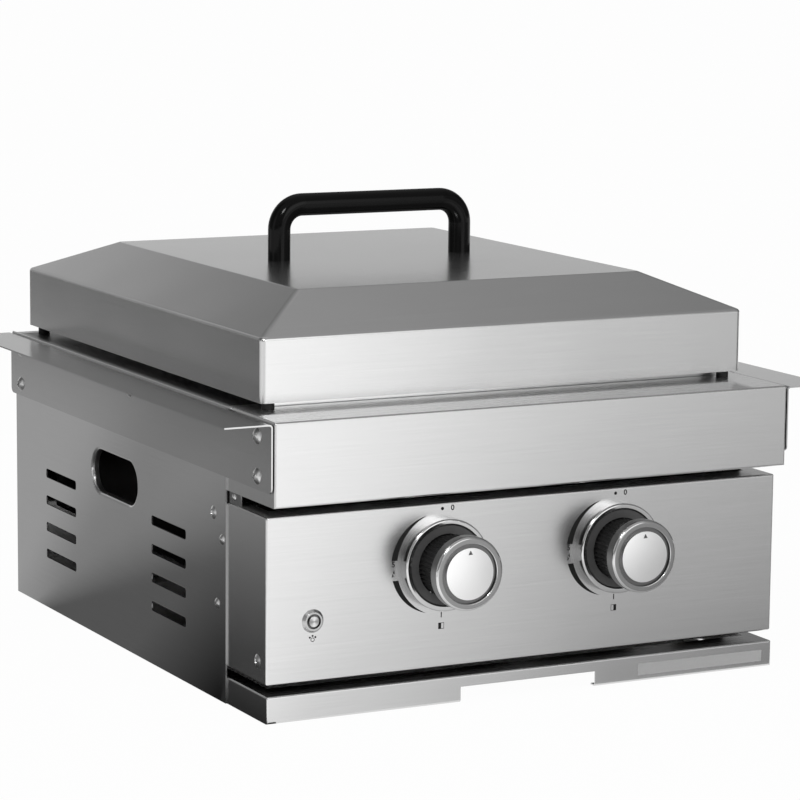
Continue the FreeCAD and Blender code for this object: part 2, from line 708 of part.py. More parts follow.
def hanger_bracket(side):
    """L angle: one leg is screwed to the body's side and the other rests on the counter."""
    inner, outer = SIDE_OUTER, SIDE_OUTER + BRACKET_SHEET
    tip = HALF_WIDTH + BRACKET_REACH
    low = RIM_TOP - BRACKET_DROP
    profile = [(inner, low), (outer, low), (outer, RIM_TOP - BRACKET_SHEET), (tip, RIM_TOP - BRACKET_SHEET),
               (tip, RIM_TOP), (inner, RIM_TOP)]
    bend_inside = BRACKET_BEND - BRACKET_SHEET
    bends = [0, 0, bend_inside, 0, 0, BRACKET_BEND]
    angle = prism_along_y(profile, bends, at(BRACKET_FRONT), at(BODY_DEPTH))
    corners = [edge for edge in angle.Edges
               if edge.BoundBox.ZMax < low + 0.01 and edge.BoundBox.XLength > 1]
    angle = angle.makeFillet(BRACKET_CORNER, corners)
    angle = drill_side(angle, bracket_screw_places(), TRUSS_SHANK + HOLE_CLEARANCE, inner - 1, outer + 1)
    return on_side(angle, side)


# Firebox and what it carries

def firebox():
    """Welded box with a hopper floor, a drain and an outward rim on top."""
    wall = BOX_HALF_WIDTH + SHEET
    front, rear = at(FIREBOX_FRONT) - SHEET, at(BOX_REAR) + SHEET

    def hopper(left, right):
        low = PAN_TOP - SHEET
        return [(left, HOPPER_TOP), (left + HOPPER_RUN, low), (right - HOPPER_RUN, low),
                (right, HOPPER_TOP), (right, RIM_TOP), (left, RIM_TOP)]

    across, along = hopper(-wall, wall), hopper(front, rear)
    outer = hipped(across, along, [BEND, BEND, BEND, BEND, 0, 0])
    inside = []
    for profile in (across, along):
        low = inset(profile, SHEET)[:4]
        inside.append(low + [(low[3][0], RIM_TOP + 5), (low[0][0], RIM_TOP + 5)])
    inner = hipped(inside[0], inside[1], [BEND, BEND, BEND, BEND, 0, 0])
    rim = box(-SIDE_OUTER, SIDE_OUTER, at(LEDGE_DEPTH), at(BODY_DEPTH), RIM_BOTTOM, RIM_TOP)
    tongue_half = HALF_WIDTH - SHEET - 1
    tongue = box(-tongue_half, tongue_half, at(LEDGE_DEPTH - FIREBOX_TONGUE), at(LEDGE_DEPTH) + 1,
                 RIM_BOTTOM, RIM_TOP)
    shell = join([outer, rim, tongue]).cut(inner)
    holes = [rod(DRAIN_RADIUS, (0, at(DRAIN_DEPTH), PAN_TOP - 5), (0, at(DRAIN_DEPTH), PAN_TOP + 1))]
    for x in (-KNOB_X, KNOB_X):
        holes.append(rod(BURNER_RADIUS + BURNER_HOLE_PLAY, (x, front - 1, KNOB_Z), (x, front + 3, KNOB_Z)))
    for side in SIDES:
        x, z = igniter_place(side)
        holes.append(rod(IGNITER_RADIUS + HOLE_CLEARANCE, (x, front - 1, z), (x, front + 3, z)))
    return shell.cut(group(holes))


def ledge_pair(top):
    """Angles along the firebox's front and rear walls, with their upper faces at this height."""
    half = BOX_HALF_WIDTH - 1
    ledges = []
    for wall, inward in ((at(FIREBOX_FRONT), 1), (at(BOX_REAR), -1)):
        profile = [(wall, top - LEDGE_DROP), (wall + inward * SHEET, top - LEDGE_DROP),
                   (wall + inward * SHEET, top - SHEET), (wall + inward * LEDGE_WIDTH, top - SHEET),
                   (wall + inward * LEDGE_WIDTH, top), (wall, top)]
        ledges.append(prism_along_x(profile, [0] * 6, -half, half))
    return group(ledges)


def heat_plate(side):
    """Folded roof over a burner, with flat feet on the ledges and a row of louvre slots in each slope."""
    foot = HEAT_PLATE_FOOT
    half = HEAT_PLATE_HALF_WIDTH
    low, high = HEAT_LEDGE_TOP, HEAT_LEDGE_TOP + HEAT_PLATE_RISE
    steep = SHEET * math.hypot(half - foot, high - low) / (half - foot)
    profile = [(-half, low), (-half + foot, low), (0, high - steep), (half - foot, low), (half, low),
               (half, low + SHEET), (half - foot, low + SHEET), (0, high), (-half + foot, low + SHEET),
               (-half, low + SHEET)]
    profile = [(KNOB_X + x, z) for x, z in profile]
    front, rear = at(FIREBOX_FRONT) + FIREBOX_PLAY, at(BOX_REAR) - FIREBOX_PLAY
    plate = prism_along_y(profile, [0] * len(profile), front, rear)
    slots = []
    for row in range(HEAT_SLOTS):
        y = front + (row + 0.5) * (rear - front) / HEAT_SLOTS
        for x in (KNOB_X - half / 2, KNOB_X + half / 2):
            slots.append(box(x - HEAT_SLOT_WIDTH / 2, x + HEAT_SLOT_WIDTH / 2,
                             y - HEAT_SLOT_LENGTH / 2, y + HEAT_SLOT_LENGTH / 2, low - 1, high + 1))
    return on_side(plate.cut(group(slots)), side)


def cooking_grate(side):
    """Round rods welded across three bars; the end bars rest on the ledges."""
    first, last = GRATE_GAP, BOX_HALF_WIDTH - GRATE_GAP
    front, rear = at(FIREBOX_FRONT) + FIREBOX_PLAY, at(BOX_REAR) - FIREBOX_PLAY
    rod_z = GRATE_TOP - GRATE_ROD_RADIUS
    bar_z = GRATE_LEDGE_TOP + GRATE_BAR_RADIUS + GRATE_WELD
    pitch = (last - first - 2 * GRATE_ROD_RADIUS) / (GRATE_RODS - 1)
    pieces = []
    for i in range(GRATE_RODS):
        x = first + GRATE_ROD_RADIUS + i * pitch
        pieces.append(rod(GRATE_ROD_RADIUS, (x, front, rod_z), (x, rear, rod_z)))
    for y in (front + LEDGE_WIDTH / 2, (front + rear) / 2, rear - LEDGE_WIDTH / 2):
        pieces.append(rod(GRATE_BAR_RADIUS, (first, y, bar_z), (last, y, bar_z)))
    return on_side(join(pieces), side)


# Gas train

def burner(side):
    """Tube with slotted ports, air windows at its mouth, a closed tail and a tab under the tail."""
    x, z = KNOB_X, KNOB_Z
    tail = BURNER_TAIL
    tube = rod(BURNER_RADIUS, (x, BURNER_MOUTH, z), (x, tail, z))
    bore = rod(BURNER_RADIUS - BURNER_WALL, (x, BURNER_MOUTH - 1, z), (x, tail - BURNER_TAIL_CAP, z))
    tab = box(x - BURNER_TAB_WIDTH / 2, x + BURNER_TAB_WIDTH / 2,
              tail - BURNER_TAB_ROOT, tail + BURNER_TAB_REACH,
              TAB_BOTTOM, TAB_BOTTOM + BURNER_TAB_THICKNESS)
    cuts = [bore, air_windows(x, z)]
    first, last = at(FIREBOX_FRONT) + PORT_FRONT_GAP, tail - PORT_TAIL_GAP
    for i in range(PORT_COUNT):
        y = first + i * (last - first) / (PORT_COUNT - 1)
        for middle in (x - PORT_OFFSET, x + PORT_OFFSET):
            cuts.append(box(middle - PORT_LENGTH / 2, middle + PORT_LENGTH / 2, y - PORT_WIDTH / 2,
                            y + PORT_WIDTH / 2, z, z + BURNER_RADIUS + 1))
    return on_side(tube.fuse(tab).removeSplitter().cut(group(cuts)), side)


def air_windows(x, z):
    """Cutter for the two air windows at a burner's mouth."""
    start = BURNER_MOUTH + SHUTTER_START + SHUTTER_BRIDGE
    end = start + SHUTTER_LENGTH - 2 * SHUTTER_BRIDGE
    across = 2 * BURNER_RADIUS
    return box(x - across, x + across, start, end, z - SHUTTER_WINDOW / 2, z + SHUTTER_WINDOW / 2)


def air_shutter(side):
    """Sleeve that turns on the burner's mouth to open or close its air windows."""
    x, z = KNOB_X, KNOB_Z
    start = BURNER_MOUTH + SHUTTER_START
    inner = BURNER_RADIUS + RUNNING_CLEARANCE
    sleeve = rod(inner + SHUTTER_WALL, (x, start, z), (x, start + SHUTTER_LENGTH, z))
    bore = rod(inner, (x, start - 1, z), (x, start + SHUTTER_LENGTH + 1, z))
    return on_side(sleeve.cut(group([bore, air_windows(x, z)])), side)


def burner_rests():
    """Shelf brackets on the firebox's rear wall, under the burners' tails."""
    wall = at(BOX_REAR)
    low, under = TAB_BOTTOM - REST_DROP, TAB_BOTTOM - REST_SHEET
    profile = [(wall, low), (wall, TAB_BOTTOM), (wall - REST_DEPTH, TAB_BOTTOM), (wall - REST_DEPTH, under),
               (wall - REST_SHEET, under), (wall - REST_SHEET, low)]
    rest = prism_along_x(profile, [0] * 6, KNOB_X - REST_WIDTH / 2, KNOB_X + REST_WIDTH / 2)
    return group([rest, mirrored(rest)])


def igniter_place(side):
    """X and height of the igniter beside a burner."""
    return SIDES[side] * (KNOB_X + IGNITER_BESIDE_BURNER), KNOB_Z + IGNITER_ABOVE_BURNER


def igniter(side):
    """Ceramic rod through the firebox's front wall, with a collar outside and a bent electrode inside."""
    x, z = igniter_place("right")
    wall = at(FIREBOX_FRONT) - SHEET
    tip = wall + IGNITER_INSIDE
    elbow = tip + ELECTRODE_LENGTH
    ceramic = rod(IGNITER_RADIUS, (x, wall - IGNITER_OUTSIDE, z), (x, tip, z))
    collar = rod(IGNITER_COLLAR_RADIUS, (x, wall - IGNITER_COLLAR_LENGTH, z), (x, wall, z))
    straight = rod(ELECTRODE_RADIUS, (x, tip - 1, z), (x, elbow, z))
    across, back, up = ELECTRODE_BEND
    bent = rod(ELECTRODE_RADIUS, (x, elbow - ELECTRODE_RADIUS / 2, z), (x + across, elbow + back, z + up))
    return on_side(join([ceramic, collar, straight, bent]), side)


def gas_manifold():
    """Closed tube across the control box, with a port under each valve and one for the inlet."""
    end = HALF_WIDTH - SHEET - MANIFOLD_BRACKET
    y, z = MANIFOLD_Y, MANIFOLD_Z
    through = MANIFOLD_RADIUS + 1
    tube = rod(MANIFOLD_RADIUS, (-end, y, z), (end, y, z))
    bore = rod(MANIFOLD_RADIUS - MANIFOLD_WALL, (-end + MANIFOLD_CAP, y, z), (end - MANIFOLD_CAP, y, z))
    ports = [rod(GAS_PORT_RADIUS, (x, y, z), (x, y, z + through)) for x in (-KNOB_X, KNOB_X)]
    ports.append(rod(GAS_PORT_RADIUS, (INLET_X, y, z - through), (INLET_X, y, z)))
    return tube.cut(group([bore] + ports))


def manifold_hollow(x, length):
    """Cutter along the manifold that fits a saddle or cradle to it."""
    start, end = (x - length / 2, MANIFOLD_Y, MANIFOLD_Z), (x + length / 2, MANIFOLD_Y, MANIFOLD_Z)
    return rod(MANIFOLD_RADIUS + RUNNING_CLEARANCE, start, end)


def manifold_brackets():
    """Plates on the control panel's side walls, each with a cradle under the manifold's end."""
    outer = HALF_WIDTH - SHEET
    inner = outer - MANIFOLD_BRACKET
    reach = MANIFOLD_RADIUS + MANIFOLD_BRACKET_REACH
    plate = box(inner, outer, MANIFOLD_Y - reach, MANIFOLD_Y + reach,
                MANIFOLD_Z - reach, MANIFOLD_Z + reach)
    cradle = box(inner - CRADLE_LENGTH, inner,
                 MANIFOLD_Y - CRADLE_HALF_WIDTH, MANIFOLD_Y + CRADLE_HALF_WIDTH,
                 MANIFOLD_Z - MANIFOLD_RADIUS - CRADLE_WALL, MANIFOLD_Z - CRADLE_WALL)
    seat = manifold_hollow(inner - CRADLE_LENGTH / 2, CRADLE_LENGTH + 2)
    bracket = plate.fuse(cradle.cut(seat)).removeSplitter()
    return group([bracket, mirrored(bracket)])


def hexagon(corner, place, axis, height):
    """Hexagonal prism; the corner is the distance from its middle to each edge along the axis."""
    points = []
    for i in range(6):
        angle = math.radians(60 * i)
        u, v = corner * math.cos(angle), corner * math.sin(angle)
        points.append(vector(*place) + (vector(u, v, 0) if axis == "z" else vector(u, 0, v)))
    face = Part.Face(Part.makePolygon(points + points[:1]))
    return face.extrude(vector(0, 0, height) if axis == "z" else vector(0, height, 0))


def gas_inlet():
    """Flare fitting under the manifold: saddle, neck, hexagon and male thread pointing down."""
    x, y = INLET_X, MANIFOLD_Y
    hex_top = MANIFOLD_Z - INLET_DROP
    hex_bottom = hex_top - INLET_HEX_HEIGHT
    end = hex_bottom - INLET_THREAD_LENGTH
    neck = rod(INLET_NECK_RADIUS, (x, y, hex_top - 1), (x, y, MANIFOLD_Z))
    nut = hexagon(INLET_HEX / math.sqrt(3), (x, y, hex_bottom), "z", INLET_HEX_HEIGHT)
    thread = rod(INLET_THREAD_RADIUS, (x, y, end), (x, y, hex_bottom))
    bore = rod(GAS_PORT_RADIUS, (x, y, end - 1), (x, y, MANIFOLD_Z))
    return join([neck, nut, thread]).cut(group([manifold_hollow(x, 4 * INLET_NECK_RADIUS), bore]))


def valve_body(side):
    """Cast valve behind the panel: barrel, mounting ears and a leg that sits on the manifold."""
    x, z = KNOB_X, KNOB_Z
    barrel = rod(VALVE_RADIUS, (x, VALVE_FRONT, z), (x, VALVE_REAR, z))
    ears = rounded_box((x - VALVE_EAR_REACH, x + VALVE_EAR_REACH,
                        VALVE_FRONT, VALVE_FRONT + VALVE_EAR_THICKNESS,
                        z - VALVE_EAR_HALF_HEIGHT, z + VALVE_EAR_HALF_HEIGHT), VALVE_EAR_CORNER,
                       [("left", "top"), ("right", "top"), ("left", "bottom"), ("right", "bottom")])
    leg = rod(VALVE_LEG_RADIUS, (x, MANIFOLD_Y, MANIFOLD_Z), (x, MANIFOLD_Y, z))
    chamber = rod(PLUG_RADIUS + RUNNING_CLEARANCE, (x, VALVE_FRONT - 1, z), (x, PLUG_REAR, z))
    cuts = group([manifold_hollow(x, 4 * VALVE_LEG_RADIUS), chamber])
    return on_side(join([barrel, ears, leg]).cut(cuts), side)


def stem_profile(radius, y0, y1):
    """Round shaft with one flat, as the knob and the valve's plug take it."""
    x, z = KNOB_X, KNOB_Z
    wide = 2 * radius
    flat = box(x - wide, x + wide, y0 - 1, y1 + 1, z + radius - STEM_FLAT, z + wide)
    return rod(radius, (x, y0, z), (x, y1, z)).cut(flat)


def valve_plug(side):
    """Plug that turns in the valve; the stem slides through it along its flat."""
    x, z = KNOB_X, KNOB_Z
    y0 = VALVE_FRONT + PLUG_FRONT - PLUG_LEAD
    y1 = PLUG_REAR - PLUG_END_PLAY
    bore = stem_profile(STEM_RADIUS + RUNNING_CLEARANCE, y0 - 1, y1 + 1)
    return on_side(rod(PLUG_RADIUS, (x, y0, z), (x, y1, z)).cut(bore), side)


def valve_stem(side):
    return on_side(stem_profile(STEM_RADIUS, STEM_END, PLUG_REAR - PUSH_TRAVEL - STEM_REAR_PLAY), side)


def knob_grip(side):
    """Ribbed black neck with a blind bore for the stem."""
    x, z = KNOB_X, KNOB_Z
    points = []
    for i in range(2 * GRIP_RIBS):
        angle = math.pi * i / GRIP_RIBS
        radius = GRIP_RADIUS - GRIP_RIB_DEPTH * (i % 2)
        points.append(vector(x + radius * math.cos(angle), CAP_REAR, z + radius * math.sin(angle)))
    neck = Part.Face(Part.makePolygon(points + points[:1])).extrude(vector(0, GRIP_REAR - CAP_REAR, 0))
    bore = stem_profile(STEM_RADIUS + RUNNING_CLEARANCE, STEM_END, GRIP_REAR + 1)
    return on_side(neck.cut(bore), side)


def knob_cap(side):
    """Chrome cap: a rounded ring round a recess that takes the disc."""
    recess = CAP_FRONT + DISC_RECESS
    inner = DISC_RADIUS + GROOVE_WIDTH
    profile = [(0, CAP_REAR), (CAP_RADIUS, CAP_REAR), (CAP_RADIUS, CAP_FRONT), (inner, CAP_FRONT),
               (inner, recess), (0, recess)]
    rounding = [0, CAP_EDGE_ROUND, CAP_FRONT_ROUND, CAP_EDGE_ROUND, 0, 0]
    return on_side(turned(profile, rounding, KNOB_X, KNOB_Z), side)


def knob_disc(side):
    """Bright disc with a low dome, seated in the cap."""
    crown = PANEL_FACE - KNOB_STANDOUT
    edge = crown + CAP_CROWN
    bulge = DISC_RADIUS ** 2 / (2 * CAP_CROWN) + CAP_CROWN / 2
    ball = Part.makeSphere(bulge, vector(KNOB_X, crown + bulge, KNOB_Z))
    plate = rod(DISC_RADIUS, (KNOB_X, crown - 1, KNOB_Z), (KNOB_X, edge + DISC_RECESS, KNOB_Z))
    return on_side(plate.common(ball), side)


def bezel(side):
    """Chrome ring round the knob, with a thin base against the panel."""
    face, rim = PANEL_FACE, PANEL_FACE - BEZEL_HEIGHT
    hole = STEM_RADIUS + BEZEL_HOLE_PLAY
    inner = BEZEL_RADIUS - BEZEL_RIM
    profile = [(hole, face), (BEZEL_RADIUS, face), (BEZEL_RADIUS, rim), (inner, rim),
               (inner, face - BEZEL_BASE), (hole, face - BEZEL_BASE)]
    return on_side(turned(profile, [0, 0, BEZEL_ROUND, BEZEL_ROUND, 0, 0], KNOB_X, KNOB_Z), side)


def light_ring(side):
    """Smoked ring that fills the bezel round the grip and glows when the lights are on."""
    rear = PANEL_FACE - BEZEL_BASE
    front = rear - LIGHT_RING_HEIGHT
    inner = GRIP_RADIUS + LIGHT_RING_PLAY
    outer = BEZEL_RADIUS - BEZEL_RIM - HOLE_CLEARANCE
    profile = [(inner, rear), (outer, rear), (outer, front), (inner, front)]
    return on_side(turned(profile, [0] * 4, KNOB_X, KNOB_Z), side)


def jet(side):
    """Brass jet in the valve's rear face, pointing into the burner's mouth."""
    x, z = KNOB_X, KNOB_Z
    end = VALVE_REAR + JET_LENGTH
    body = rod(JET_RADIUS, (x, VALVE_REAR, z), (x, end, z))
    collar = rod(JET_COLLAR_RADIUS, (x, VALVE_REAR, z), (x, VALVE_REAR + JET_COLLAR_LENGTH, z))
    hole = rod(JET_HOLE_RADIUS, (x, VALVE_REAR - 1, z), (x, end + 1, z))
    return on_side(body.fuse(collar).cut(hole), side)


# Push button for the knob lights

def button_housing():
    """Flange that rises as a cone to a crest round the plunger's well, with a barrel behind the panel."""
    x, z = BUTTON_X, BUTTON_Z
    front = PANEL_FACE - BUTTON_FLANGE
    well_floor = front + BUTTON_WELL_DEPTH
    profile = [(0, well_floor), (BUTTON_WELL_RADIUS, well_floor), (BUTTON_WELL_RADIUS, front),
               (BUTTON_CREST_RADIUS, front), (BUTTON_FLANGE_RADIUS, PANEL_FACE), (0, PANEL_FACE)]
    flange = turned(profile, [0, 0, BUTTON_ROUND / 4, BUTTON_ROUND / 2, 0, 0], x, z)
    end = PANEL_FACE + BUTTON_BODY
    barrel = rod(BUTTON_BARREL_RADIUS, (x, PANEL_FACE - BUTTON_FLANGE / 4, z), (x, end, z))
    bore = rod(BUTTON_RADIUS + RUNNING_CLEARANCE, (x, front - 1, z), (x, end - BUTTON_BACK, z))
    return flange.fuse(barrel).removeSplitter().cut(bore)


def button_nut():
    x, z = BUTTON_X, BUTTON_Z
    y = PANEL_FACE + SHEET
    nut = hexagon(BUTTON_NUT_RADIUS, (x, y, z), "y", BUTTON_NUT_HEIGHT)
    hole = rod(BUTTON_BARREL_RADIUS + RUNNING_CLEARANCE, (x, y - 1, z), (x, y + BUTTON_NUT_HEIGHT + 1, z))
    return nut.cut(hole)


def light_button():
    front = PANEL_FACE - BUTTON_FLANGE - BUTTON_PROUD
    rear = PANEL_FACE + BUTTON_BODY - BUTTON_BACK - BUTTON_TRAVEL - 1
    profile = [(0, front), (BUTTON_RADIUS, front), (BUTTON_RADIUS, rear), (0, rear)]
    return turned(profile, [0, BUTTON_ROUND / 2, 0, 0], BUTTON_X, BUTTON_Z)


def lid_outline(half_width, front, rear, radius, z):
    """Rectangle with round corners, level at a height."""
    points = [(-half_width, front), (half_width, front), (half_width, rear), (-half_width, rear)]
    return outline(points, [radius] * 4, lambda u, v: vector(u, v, z))


def lid_block(reach):
    """Solid lid with round corners and folds; the reach moves every face inward, for the hollow."""
    half, front, rear = LID_HALF_WIDTH - reach, at(LID_FRONT) + reach, at(LID_REAR) - reach
    side_slope = math.atan2(LID_RISE, LID_SIDE_RUN)
    end_slope = math.atan2(LID_RISE, LID_END_RUN)
    low = LID_BOTTOM + reach
    shoulder = LID_SHOULDER - reach * math.tan((math.pi / 2 - side_slope) / 2)
    top = LID_TOP - reach
    side_run = LID_SIDE_RUN - reach + reach * math.tan(side_slope / 2)
    end_run = LID_END_RUN - reach + reach * math.tan(end_slope / 2)
    radius = LID_CORNER - reach
    skirt = lid_outline(half, front, rear, radius, low).extrude(vector(0, 0, shoulder - low))
    eaves = lid_outline(half, front, rear, radius, shoulder)
    flat = lid_outline(half - side_run, front + end_run, rear - end_run, radius, top)
    slopes = Part.makeLoft([eaves.OuterWire, flat.OuterWire], True, True)
    block = skirt.fuse(slopes).removeSplitter()
    folds = [edge for edge in block.Edges
             if edge.BoundBox.ZLength < 1e-4 and edge.BoundBox.ZMin > low + 1]
    return block.makeFillet(LID_BEND - reach, folds)


# Lid

def lid_feet_places():
    """X, depth and the height of the seat under each foot."""
    x = LID_HALF_WIDTH - LID_FOOT_INSET
    front, rear = LID_FRONT + LID_FOOT_INSET, LID_REAR - LID_FOOT_INSET
    return [(-x, front, BODY_HEIGHT), (x, front, BODY_HEIGHT), (-x, rear, RIM_TOP), (x, rear, RIM_TOP)]


def handle_legs():
    return [(-HANDLE_SPAN / 2, at(LID_MIDDLE)), (HANDLE_SPAN / 2, at(LID_MIDDLE))]


def lid_shell():
    """Drawn lid: skirt, four slopes that meet in soft hips, flat top and a hem turned in below."""
    hollow = LID_HALF_WIDTH - LID_HEM
    cuts = [box(-hollow, hollow, at(LID_FRONT + LID_HEM), at(LID_REAR - LID_HEM),
                LID_BOTTOM - 1, LID_BOTTOM + 2 * SHEET)]
    for place in lid_feet_places():
        x, y = place[0], at(place[1])
        cuts.append(rod(LID_FOOT_NECK + HOLE_CLEARANCE,
                        (x, y, LID_BOTTOM - 1), (x, y, LID_BOTTOM + 2 * SHEET)))
    for x, y in handle_legs():
        cuts.append(rod(HANDLE_BOLT_RADIUS + HOLE_CLEARANCE,
                        (x, y, LID_TOP - 2 * SHEET), (x, y, LID_TOP + 1)))
    return lid_block(0).cut(lid_block(SHEET)).cut(group(cuts))


def lid_feet():
    """Rubber feet pushed through the hem: a pad below it, a neck in the hole and a head above."""
    feet = []
    hem = LID_BOTTOM + SHEET
    for x, depth, seat in lid_feet_places():
        y = at(depth)
        pad = rod(LID_FOOT_RADIUS, (x, y, seat), (x, y, LID_BOTTOM))
        neck = rod(LID_FOOT_NECK, (x, y, LID_BOTTOM - 0.5), (x, y, hem + 0.5))
        head = rod(LID_FOOT_HEAD_RADIUS, (x, y, hem), (x, y, hem + LID_FOOT_HEAD_HEIGHT))
        feet.append(join([pad, neck, head]))
    return group(feet)


def lid_handle():
    """Bent round bar with a tapped hole in each foot."""
    half = HANDLE_SPAN / 2
    y = at(LID_MIDDLE)
    crown = LID_TOP + HANDLE_HEIGHT - HANDLE_RADIUS
    slant = HANDLE_BEND * (1 - math.sqrt(0.5))
    points = [vector(-half, y, LID_TOP), vector(-half, y, crown - HANDLE_BEND),
              vector(-half + HANDLE_BEND, y, crown), vector(half - HANDLE_BEND, y, crown),
              vector(half, y, crown - HANDLE_BEND), vector(half, y, LID_TOP)]
    path = Part.Wire([
        Part.makeLine(points[0], points[1]),
        Part.Arc(points[1], vector(-half + slant, y, crown - slant), points[2]).toShape(),
        Part.makeLine(points[2], points[3]),
        Part.Arc(points[3], vector(half - slant, y, crown - slant), points[4]).toShape(),
        Part.makeLine(points[4], points[5])])
    circle = Part.Wire([Part.makeCircle(HANDLE_RADIUS, points[0], vector(0, 0, 1))])
    bar = path.makePipeShell([circle], True, True)
    radius = HANDLE_BOLT_RADIUS + RUNNING_CLEARANCE
    deep = LID_TOP + HANDLE_BOLT_GRIP + 1
    holes = [rod(radius, (x, leg_y, LID_TOP - 1), (x, leg_y, deep)) for x, leg_y in handle_legs()]
    return bar.cut(group(holes))


def handle_bolts():
    """Bolts up through the lid's top into the handle, each with a washer-faced head."""
    bolts = []
    under = LID_TOP - SHEET
    for x, y in handle_legs():
        shank = rod(HANDLE_BOLT_RADIUS, (x, y, under - 1), (x, y, LID_TOP + HANDLE_BOLT_GRIP))
        washer = rod(BOLT_WASHER_RADIUS, (x, y, under - BOLT_WASHER_HEIGHT), (x, y, under))
        head = rod(BOLT_HEAD_RADIUS,
                   (x, y, under - BOLT_HEAD_HEIGHT), (x, y, under - BOLT_WASHER_HEIGHT / 2))
        bolts.append(join([shank, washer, head]))
    return group(bolts)


# Grease cup

def cup_rails():
    """Z-shaped rails under the hopper's pan that carry the cup by its side flanges."""
    top = PAN_TOP - SHEET
    low = top - RAIL_HEIGHT
    web = CUP_HALF_WIDTH + CUP_FLANGE + RAIL_PLAY
    shelf = web - CUP_FLANGE + RAIL_PLAY
    foot = web + RAIL_FOOT
    profile = [(web, low), (web + SHEET, low), (web + SHEET, top - SHEET), (foot, top - SHEET), (foot, top),
               (web, top), (web, low + SHEET), (shelf, low + SHEET), (shelf, low)]
    y = at(DRAIN_DEPTH)
    half = CUP_LENGTH / 2 + RAIL_END
    rail = prism_along_y(profile, [0] * len(profile), y - half, y + half)
    return group([rail, mirrored(rail)])


def grease_cup():
    """Pressed cup with side flanges that slide on the rails."""
    half = CUP_HALF_WIDTH
    y0, y1 = at(DRAIN_DEPTH) - CUP_LENGTH / 2, at(DRAIN_DEPTH) + CUP_LENGTH / 2
    flange_low = PAN_TOP - RAIL_HEIGHT + CUP_PLAY
    flange_top = flange_low + SHEET
    edges = [(side, face) for side in SIDES for face in ("front", "back", "bottom")]
    edges += [("front", "bottom"), ("back", "bottom")]
    outer = rounded_box((-half, half, y0, y1, CUP_FLOOR, flange_top), CUP_CORNER, edges)
    flange = box(-half - CUP_FLANGE, half + CUP_FLANGE, y0, y1, flange_low, flange_top)
    hollow = (-half + SHEET, half - SHEET, y0 + SHEET, y1 - SHEET,
              CUP_FLOOR + SHEET, flange_top + CUP_CORNER)
    return outer.fuse(flange).removeSplitter().cut(rounded_box(hollow, CUP_CORNER - SHEET, edges))


# Every node with its shape

def all_nodes():
    nodes = {
        "front_apron": front_apron(),
        "apron_straps": apron_straps(),
        "strap_screws": strap_screws(),
        "control_panel": control_panel(),
        "control_panel_screws": control_panel_screws(),
        "front_sill": front_sill(),
        "rear_panel": rear_panel(),
        "bracket_screws": bracket_screws(),
        "side_panel_screws": side_panel_screws(),
        "firebox": firebox(),
        "grate_ledges": ledge_pair(GRATE_LEDGE_TOP),
        "heat_plate_ledges": ledge_pair(HEAT_LEDGE_TOP),
        "burner_rests": burner_rests(),
        "gas_manifold": gas_manifold(),
        "manifold_brackets": manifold_brackets(),
        "gas_inlet": gas_inlet(),
        "button_housing": button_housing(),
        "button_nut": button_nut(),
        "light_button": light_button(),
        "lid_shell": lid_shell(),
        "lid_feet": lid_feet(),
        "lid_handle": lid_handle(),
        "handle_bolts": handle_bolts(),
        "cup_rails": cup_rails(),
        "grease_cup": grease_cup(),
    }
    pairs = {
        "side_panel": side_panel,
        "hanger_bracket": hanger_bracket,
        "heat_plate": heat_plate,
        "cooking_grate": cooking_grate,
        "burner": burner,
        "air_shutter": air_shutter,
        "igniter": igniter,
        "valve_body": valve_body,
        "valve_plug": valve_plug,
        "valve_stem": valve_stem,
        "jet": jet,
        "bezel": bezel,
        "light_ring": light_ring,
        "knob_grip": knob_grip,
        "knob_cap": knob_cap,
        "knob_disc": knob_disc,
    }
    for name, make in pairs.items():
        for side in SIDES:
            nodes[f"{side}_{name}"] = make(side)
    return nodes


os.makedirs("parts", exist_ok=True)
for node, shape in all_nodes().items():
    shape.exportStep(f"parts/{node}.step")
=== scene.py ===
import json
import math

import bpy
from mathutils import Matrix, Vector


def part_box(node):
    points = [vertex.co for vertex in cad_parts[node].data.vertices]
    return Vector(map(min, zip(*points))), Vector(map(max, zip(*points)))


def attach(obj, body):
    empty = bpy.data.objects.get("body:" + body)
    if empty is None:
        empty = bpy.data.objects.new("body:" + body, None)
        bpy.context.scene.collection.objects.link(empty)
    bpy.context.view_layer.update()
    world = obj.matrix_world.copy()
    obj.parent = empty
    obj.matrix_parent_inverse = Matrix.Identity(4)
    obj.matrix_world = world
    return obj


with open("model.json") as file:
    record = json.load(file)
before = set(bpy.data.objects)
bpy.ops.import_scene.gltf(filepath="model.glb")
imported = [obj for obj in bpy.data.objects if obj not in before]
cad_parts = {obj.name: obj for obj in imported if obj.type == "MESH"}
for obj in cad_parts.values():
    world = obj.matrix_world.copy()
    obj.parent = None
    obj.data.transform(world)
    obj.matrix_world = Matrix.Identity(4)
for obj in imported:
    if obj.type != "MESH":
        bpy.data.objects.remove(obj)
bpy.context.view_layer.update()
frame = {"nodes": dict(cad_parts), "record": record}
nodes = frame["nodes"]

# Sizes and places, in metres

